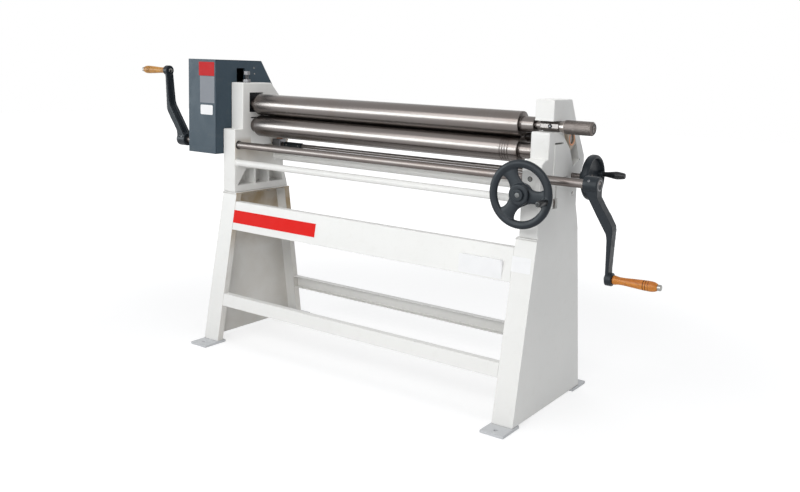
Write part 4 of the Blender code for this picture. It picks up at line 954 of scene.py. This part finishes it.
def make_front_wheel():
    inner = RIM_RADIUS - RIM_WIDTH
    half = RIM_HALF
    hub_face = -FRONT_HUB_HALF * 0.72
    shape = bmesh.new()
    lathe(shape, [
        (inner, -half * 0.55, 0.006), (inner + 0.006, -half * 0.8), (RIM_RADIUS - 0.01, -half, 0.005),
        (RIM_RADIUS, -half * 0.6, 0.005), (RIM_RADIUS, half * 0.6, 0.005),
        (RIM_RADIUS - 0.008, half, 0.005), (inner, half * 0.7, 0.006)], wheel, AXIS_Y, 120,
        closed=True, corner=0.004)
    lathe(shape, [(0, hub_face), (FRONT_HUB_RADIUS, hub_face, 0.004),
        (FRONT_HUB_RADIUS, FRONT_HUB_HALF, 0.003), (0, FRONT_HUB_HALF)], wheel, AXIS_Y)
    for turn in SPOKE_TURNS:
        spoke(shape, turn)
    lathe(shape, [(0, -half), (0.0125, -half, 0.002), (0.0135, half * 0.6), (0, half * 0.6)],
        front_handle, AXIS_Y, 32)
    cast("front_wheel_cast", shape, "front_wheel_set", iron, "front_handwheel", passes=7)

    face = -FRONT_HUB_HALF
    turned("front_wheel_hub_face", "front_wheel_set", iron, wheel, [
        (0, face + 0.01), (0.0215, face + 0.01), (0.0205, face + 0.0016, 0.0015), (0.019, face, 0.0008),
        (0.0098, face, 0.0003), (0.0092, face + 0.0012), (0, face + 0.0012)], axis=AXIS_Y,
        corner=0.0004)
    start, end = (corner.y for corner in place_of("pinch_worm_shaft"))
    worm_place = (wheel.x, 0, wheel.z)
    turned("pinch_shaft_bar", "front_wheel_set", dull_steel, worm_place, [
        (0, start), (0.0089, start, 0.0012), (0.0089, end, 0.001), (0, end)], "pinch_worm_shaft",
        axis=AXIS_Y, steps=48)
    shape = bmesh.new()
    thread(shape, worm_place, AXIS_Y, 0.012, 0.0035, 0.0076, -0.022, 0.022, 48)
    piece("pinch_worm", shape, "front_wheel_set", gear_finish)
    shape = bmesh.new()
    socket_screw(shape, (wheel.x, wheel.y - FRONT_HUB_HALF * 0.45, wheel.z), (0.94, 0, 0.34), 0.0036,
        FRONT_HUB_RADIUS + 0.0004)
    piece("front_wheel_screw", shape, "front_wheel_set", pocket_black)


def make_front_handle():
    """Waisted black handle with a light ring at its end, on its pin."""
    tip = place_of("front_handle")[0].y - wheel.y
    base = -RIM_HALF - 0.0005
    length = base - tip
    turned("front_handle_grip", "front_wheel_handle", plastic, front_handle, [
        (0, tip), (0.005, tip), (0.0078, tip + 0.0004, 0.001), (0.0104, tip + 0.004, 0.003),
        (0.011, tip + length * 0.25, 0.01), (0.0104, tip + length * 0.55, 0.012),
        (0.0088, base - 0.006, 0.004), (0.0098, base - 0.003, 0.001), (0.0098, base, 0.0008),
        (0, base)], "front_handle", axis=AXIS_Y, steps=48, angle=50)
    turned("front_handle_ring", "front_wheel_handle", dull_steel, front_handle, [
        (0.0046, tip + 0.0006), (0.005, tip - 0.0004, 0.0003), (0.0066, tip - 0.0004, 0.0003),
        (0.007, tip + 0.0008)], axis=AXIS_Y, steps=40, closed=True)


make_front_wheel()
make_front_handle()

# Side handwheel: dished web
SIDE_RADIUS = 0.08
SIDE_RIM_WIDTH = 0.016
SIDE_RIM_LENGTH = 0.028
SIDE_HUB_RADIUS = 0.02
SIDE_BORE = 0.0094


def make_side_wheel():
    hub_start = place_of("side_handwheel")[0].x
    web = outer_x + 0.069
    rim_start = web - 0.004
    rim_end = rim_start + SIDE_RIM_LENGTH
    inner = SIDE_RADIUS - SIDE_RIM_WIDTH
    turned("side_wheel_cast", "lift_shaft_set", iron, lift_axis, [
        (SIDE_BORE, web + 0.008), (0.016, web + 0.008, 0.002), (SIDE_HUB_RADIUS, web + 0.0075, 0.004),
        (inner, web + 0.0085, 0.006), (inner + 0.002, rim_end - 0.004, 0.003),
        (inner + 0.006, rim_end, 0.004), (SIDE_RADIUS - 0.005, rim_end, 0.004),
        (SIDE_RADIUS, rim_end - 0.006, 0.004), (SIDE_RADIUS, rim_start + 0.006, 0.004),
        (SIDE_RADIUS - 0.005, rim_start, 0.004), (inner + 0.002, rim_start, 0.003),
        (inner - 0.002, web, 0.004), (SIDE_HUB_RADIUS + 0.003, web, 0.004),
        (SIDE_HUB_RADIUS, web - 0.004, 0.002), (SIDE_HUB_RADIUS, hub_start, 0.0025),
        (SIDE_BORE, hub_start, 0.0006)], "side_handwheel", steps=120, closed=True, corner=0.001,
        angle=50)
    handle_axis = (0, *centre_of("side_handle").yz)
    start = outer_x + 0.094
    boss_face = start - 0.0006
    shape = bmesh.new()
    lathe(shape, [(0.0044, web + 0.004), (0.0115, web + 0.006, 0.003), (0.0092, boss_face, 0.0008),
        (0.0044, boss_face)], handle_axis, steps=48, closed=True)
    socket_screw(shape, (hub_start + 0.012, *lift_axis[1:]), (0, -0.64, 0.77), 0.0035,
        SIDE_HUB_RADIUS + 0.0003)
    piece("side_wheel_boss", shape, "lift_shaft_set", iron)
    end = place_of("side_handle")[1].x
    length = end - start
    turned("side_handle_grip", "side_wheel_handle", plastic, handle_axis, [
        (0, start), (0.008, start, 0.001), (0.0084, start + length * 0.06),
        (0.0096, start + length * 0.22, 0.012), (0.0138, start + length * 0.56, 0.02),
        (0.014, start + length * 0.66, 0.012), (0.0118, start + length * 0.88, 0.01),
        (0.0098, end - 0.001, 0.004), (0.006, end, 0.001), (0, end)],
        "side_handle", steps=48, corner=0.002, angle=50)


make_side_wheel()

# Fasteners
BOLT_FLATS = 0.0182
BOLT_RADIUS = 0.0059


def make_adjuster():
    centre = (*centre_of("bearing_adjuster").xy, 0)
    low, high = place_of("bearing_adjuster")
    shape = bmesh.new()
    hexagon(shape, centre, AXIS_Z, 0.026, high.z - 0.016, high.z)
    thread(shape, centre, AXIS_Z, 0.008, 0.0009, 0.0018, low.z, high.z - 0.0155)
    piece("adjuster_bolt", shape, "stand", gear_finish, "bearing_adjuster")
    low, high = place_of("adjuster_lock_nut")
    shape = bmesh.new()
    hexagon(shape, centre, AXIS_Z, 0.0312, low.z, high.z, 0.0084, both=True)
    piece("adjuster_nut", shape, "stand", gear_finish, "adjuster_lock_nut")


def make_housing_bolt(place):
    low, high = place_of("housing_bolt_" + place)
    centre = (*centre_of("housing_bolt_" + place).xy, 0)
    shape = bmesh.new()
    hexagon(shape, centre, AXIS_Z, BOLT_FLATS, high.z - 0.008, high.z)
    lathe(shape, band(0, BOLT_RADIUS, low.z + 0.004, high.z - 0.0075), centre, AXIS_Z, 24)
    hexagon(shape, centre, AXIS_Z, BOLT_FLATS, low.z + 0.01, low.z)
    piece("stand_bolt_" + place, shape, "stand", zinc, "housing_bolt_" + place)


make_adjuster()
for place in ("front_left", "rear_left", "front_right", "rear_right"):
    make_housing_bolt(place)

# Housings: shares of the housing's depth and height, from its front foot
LEFT_FRONT_SHARES = ((0, 0), (0, 0.579), (0.141, 0.579), (0.141, 1), (0.663, 1), (0.812, 0.892))
RIGHT_FRONT_SHARES = ((0, 0), (0, 0.5), (0.028, 0.545), (0.09, 0.567), (0.156, 0.571),
    (0.156, 0.751), (0.227, 0.863), (0.227, 1), (0.656, 1), (0.794, 0.833))
REAR_SHARES = ((1.049, 0.569), (1.061, 0.517), (0.905, 0.318), (0.911, 0.189), (0.975, 0.067), (1, 0))
HOUSING_FRONT = -0.121
HOUSING_DEPTH = 0.326
HOUSING_ROUND = 0.0035
FILLER_INSET = 0.0036


def housing_outline(front_shares):
    return [(HOUSING_FRONT + depth * HOUSING_DEPTH, housing_base + rise * (housing_top - housing_base))
        for depth, rise in front_shares + REAR_SHARES]


def make_joint_filler():
    """Painted filler over the joint of the right housing and its leg."""
    base = housing_base
    low = base - FILLER_INSET
    top = base + REAR_SHARES[4][1] * (housing_top - base)
    front = HOUSING_FRONT + FILLER_INSET
    rear = HOUSING_FRONT + HOUSING_DEPTH - FILLER_INSET
    outline = [(front, low), (rear, low), (rear, base), (rear - 0.025 * HOUSING_DEPTH, top),
        (front, top), (front, base)]
    shape = bmesh.new()
    slab(shape, outline, "x", outer_x - FILLER_INSET, place_of("leg_right")[1].x)
    for vert in shape.verts:
        if vert.co.z > (base + top) / 2 and vert.co.x > outer_x:
            vert.co.x = outer_x + SLAB_MARGIN
    piece("joint_filler", shape, "stand", white)


rounded("housing_left", housing_shaded_white, housing_outline(LEFT_FRONT_SHARES), HOUSING_ROUND)
rounded("housing_right", white, housing_outline(RIGHT_FRONT_SHARES), HOUSING_ROUND)
make_joint_filler()

# Nodes that keep their own shape under rounded edges, and those that show as they are
SKINS = (
    (leg_shaded_white, 0.003, ("leg_left",)),
    (white, 0.003, ("leg_right",)),
    (white, 0.0016, ("upper_front_beam", "lower_front_beam", "lower_rear_beam")),
    (foot_white, 0.0015, ("foot_front_left", "foot_front_right", "foot_rear_left", "foot_rear_right")),
    (slate, 0.0015, ("gear_case_plate",)),
    (slate, 0.0012, ("gear_case_cover",)),
    (white, 0.0008, ("bottom_block_left",)),
    (white, 0.001, ("bottom_block_right",)),
    (block_tan, 0.0008, ("rear_block_left", "rear_block_right")),
    (gear_finish, 0.0025, ("shaft_bracket",)),
    (pocket_black, 0.001, ("top_swing_block",)),
)
NODE_FINISHES = {"name_strip": red, "lift_screw_left": zinc, "lift_screw_right": zinc,
    "lift_nut_left": bronze, "lift_nut_right": bronze, "cam_shaft": shaft_finish,
    "pinch_worm_wheel": bronze}
GEARS = ("top_roll_gear", "bottom_roll_gear", "idler_gear_upper", "reduction_cluster_gear",
    "drive_pinion")

for finish, width, names in SKINS:
    for name in names:
        dress(name, finish, width)
for name, node in nodes.items():
    node.data.materials.clear()
    node.data.materials.append(NODE_FINISHES.get(name, gear_finish if name in GEARS else white))

# Plates, labels and small trim
FILM_THICKNESS = 0.0005
SOCKET_SCREW_PLACE = (0.716, HOUSING_FRONT, 0.844)
LEG_TOP_Z = 0.642
LEG_FLOOR_Z = 0.01
LEG_TOP_FRONT = -0.121
LEG_FLOOR_FRONT = -0.2306


def plate(name, finish, face, thickness, middle, half, radius, *replaced):
    """Bare plate or film on a face that looks to the front."""
    shape = bmesh.new()
    slab(shape, rectangle(middle, half, radius), "y", face, face - thickness)
    piece(name, shape, "stand", finish, *replaced)


def make_plates():
    low, high = place_of("badge_plate")
    size = high - low
    plate("badge_rounded", badge, high.y, size.y, centre_of("badge_plate").xz, size.xz / 2, 0.009,
        "badge_plate")
    face = place_of("gear_case_cover")[0].y
    for name, finish, middle, half, radius in (
            ("case_label_red", label_red, (-0.8095, 1.162), (0.0475, 0.029), 0.003),
            ("case_label_silver", label_silver, (-0.806, 1.075), (0.044, 0.056), 0.002),
            ("case_label_white", badge, (-0.8095, 0.9895), (0.0375, 0.0205), 0.006)):
        plate(name, finish, face, FILM_THICKNESS, middle, half, radius)


def domes(name, finish, places, axis, radius, height):
    shape = bmesh.new()
    for place in places:
        dome(shape, place, axis, radius, height)
    piece(name, shape, "stand", finish)


def make_trim():
    plate_x = place_of("gear_case_plate")[1].x
    domes("case_rivets", zinc, [(plate_x, 0.0583, 1.1703), (plate_x, 0.0615, 1.145)], AXIS_X, 0.0035,
        0.0018)
    corner = place_of("gear_case_cover")[0]
    domes("cover_screws", zinc, [(corner.x, corner.y + inset, z)
        for inset in (0.018, 0.15) for z in (1.184, 0.88)], TO_LEFT, 0.0045, 0.0022)
    domes("housing_plug", white, [(outer_x, 0.0076, 0.927)], AXIS_X, 0.0045, 0.0022)
    shape = bmesh.new()
    dome(shape, (outer_x, 0.138, 0.773), AXIS_X, 0.0085, 0.002)
    socket_screw(shape, SOCKET_SCREW_PLACE, TO_FRONT, 0.0062, 0.0022)
    piece("housing_screws", shape, "stand", zinc)
    # Dark films painted as shade: a ring for the countersink round the front socket screw, and two dots
    # for pinholes on the outer face.
    shape = bmesh.new()
    lathe(shape, band(0.0062, 0.0088, 0, 0.0003), SOCKET_SCREW_PLACE, TO_FRONT, 40, closed=True)
    for y, z in ((0.007, 0.91), (0.1812, 0.8926)):
        dome(shape, (outer_x, y, z), AXIS_X, 0.0022, 0.0004)
    piece("housing_hole_shade", shape, "stand", pocket_black)


def make_leg_label():
    """Bare film that follows the leg's sloping front."""
    shape = bmesh.new()
    slab(shape, rectangle((0.708, 0.551), (0.036, 0.026), 0.003), "y", 0.0003, -FILM_THICKNESS)
    for vert in shape.verts:
        drop = (LEG_TOP_Z - vert.co.z) / (LEG_TOP_Z - LEG_FLOOR_Z)
        vert.co.y += LEG_TOP_FRONT + (LEG_FLOOR_FRONT - LEG_TOP_FRONT) * drop
    piece("leg_label", shape, "stand", badge)


make_plates()
make_trim()
make_leg_label()

# Stage: pale floor and world that show white to the camera, gloss and glass
FLOOR_SIZE = 14
FLOOR_DROP = 0.0005


def seen_rays(tree):
    """1 for rays of the camera, of gloss and of glass, 0 for the rest."""
    paths = add_node(tree, "LightPath")
    seen = paths.outputs["Is Camera Ray"]
    for ray in ("Is Glossy Ray", "Is Transmission Ray"):
        either = add_node(tree, "Math", operation="MAXIMUM")
        tree.links.new(seen, either.inputs[0])
        tree.links.new(paths.outputs[ray], either.inputs[1])
        seen = either.outputs[0]
    return seen


def floor_finish():
    """Plain to the light; to the camera white away from the machine and dimmer under it."""
    floor = Finish("floor", (0.9, 0.9, 0.9), 0.9, Specular_IOR_Level=0)
    reach = floor.add("VectorMath", operation="LENGTH")
    floor.link(floor.place, reach.inputs[0])
    fade = floor.ramp(reach.outputs["Value"], 1.2, 3.5, 0.66, 1)
    fade.node.interpolation_type = "SMOOTHSTEP"
    glow = floor.add("Emission")
    soft = floor.add("BsdfDiffuse", Color=(0.42, 0.42, 0.42, 1))
    both = floor.add("AddShader")
    mix = floor.add("MixShader")
    floor.link(fade, glow.inputs["Strength"])
    floor.link(glow.outputs[0], both.inputs[0])
    floor.link(soft.outputs[0], both.inputs[1])
    for i, output in enumerate((seen_rays(floor.tree), floor.shader.outputs[0], both.outputs[0])):
        floor.link(output, mix.inputs[i])
    floor.link(mix.outputs[0], floor.tree.nodes["Material Output"].inputs["Surface"])
    return floor.material


def make_floor():
    shape = bmesh.new()
    bmesh.ops.create_grid(shape, x_segments=1, y_segments=1, size=FLOOR_SIZE)
    mesh = bpy.data.meshes.new("floor")
    shape.to_mesh(mesh)
    shape.free()
    mesh.materials.append(floor_finish())
    floor = add_object("floor", mesh)
    floor.location = (0, 0, -FLOOR_DROP)


def make_world():
    world = bpy.data.worlds.new("world")
    scene.world = world
    world.use_nodes = True
    tree = world.node_tree
    background = tree.nodes["Background"]
    background.inputs["Strength"].default_value = 1
    mix = add_node(tree, "Mix", data_type="RGBA")
    mix.inputs[6].default_value = (0.42, 0.43, 0.445, 1)
    mix.inputs[7].default_value = (1, 1, 1, 1)
    tree.links.new(seen_rays(tree), mix.inputs["Factor"])
    tree.links.new(mix.outputs[2], background.inputs["Color"])


def area_light(name, place, target, size, power, diffuse=True, glossy=True, tint=(1, 1, 1)):
    data = bpy.data.lights.new(name, "AREA")
    data.shape = "RECTANGLE"
    data.size, data.size_y = size
    data.energy = power
    data.color = tint
    light = add_object(name, data)
    light.location = place
    light.rotation_mode = "QUATERNION"
    light.rotation_quaternion = (Vector(target) - Vector(place)).to_track_quat("-Z", "Y")
    light.visible_diffuse = diffuse
    light.visible_glossy = glossy


make_floor()
make_world()
area_light("key", (-1.3, -3.6, 2.9), (0, 0, 0.9), (2.6, 1.6), 42)
area_light("front", (1.5, -3.7, 2.5), (0.3, 0, 0.6), (2.2, 1.6), 62)
area_light("strip", (-3.2, -4.2, 1.45), (-0.2, 0, 1.0), (5.8, 1.7), 240, diffuse=False,
    tint=(0.88, 0.97, 1))
area_light("top", (0.2, 0.1, 3.8), (0, 0, 0.6), (3.0, 1.2), 34, glossy=False)
area_light("side", (3.8, -0.8, 1.9), (0, 0, 0.7), (1.6, 1.6), 4.5)

scene.view_settings.view_transform = "Standard"
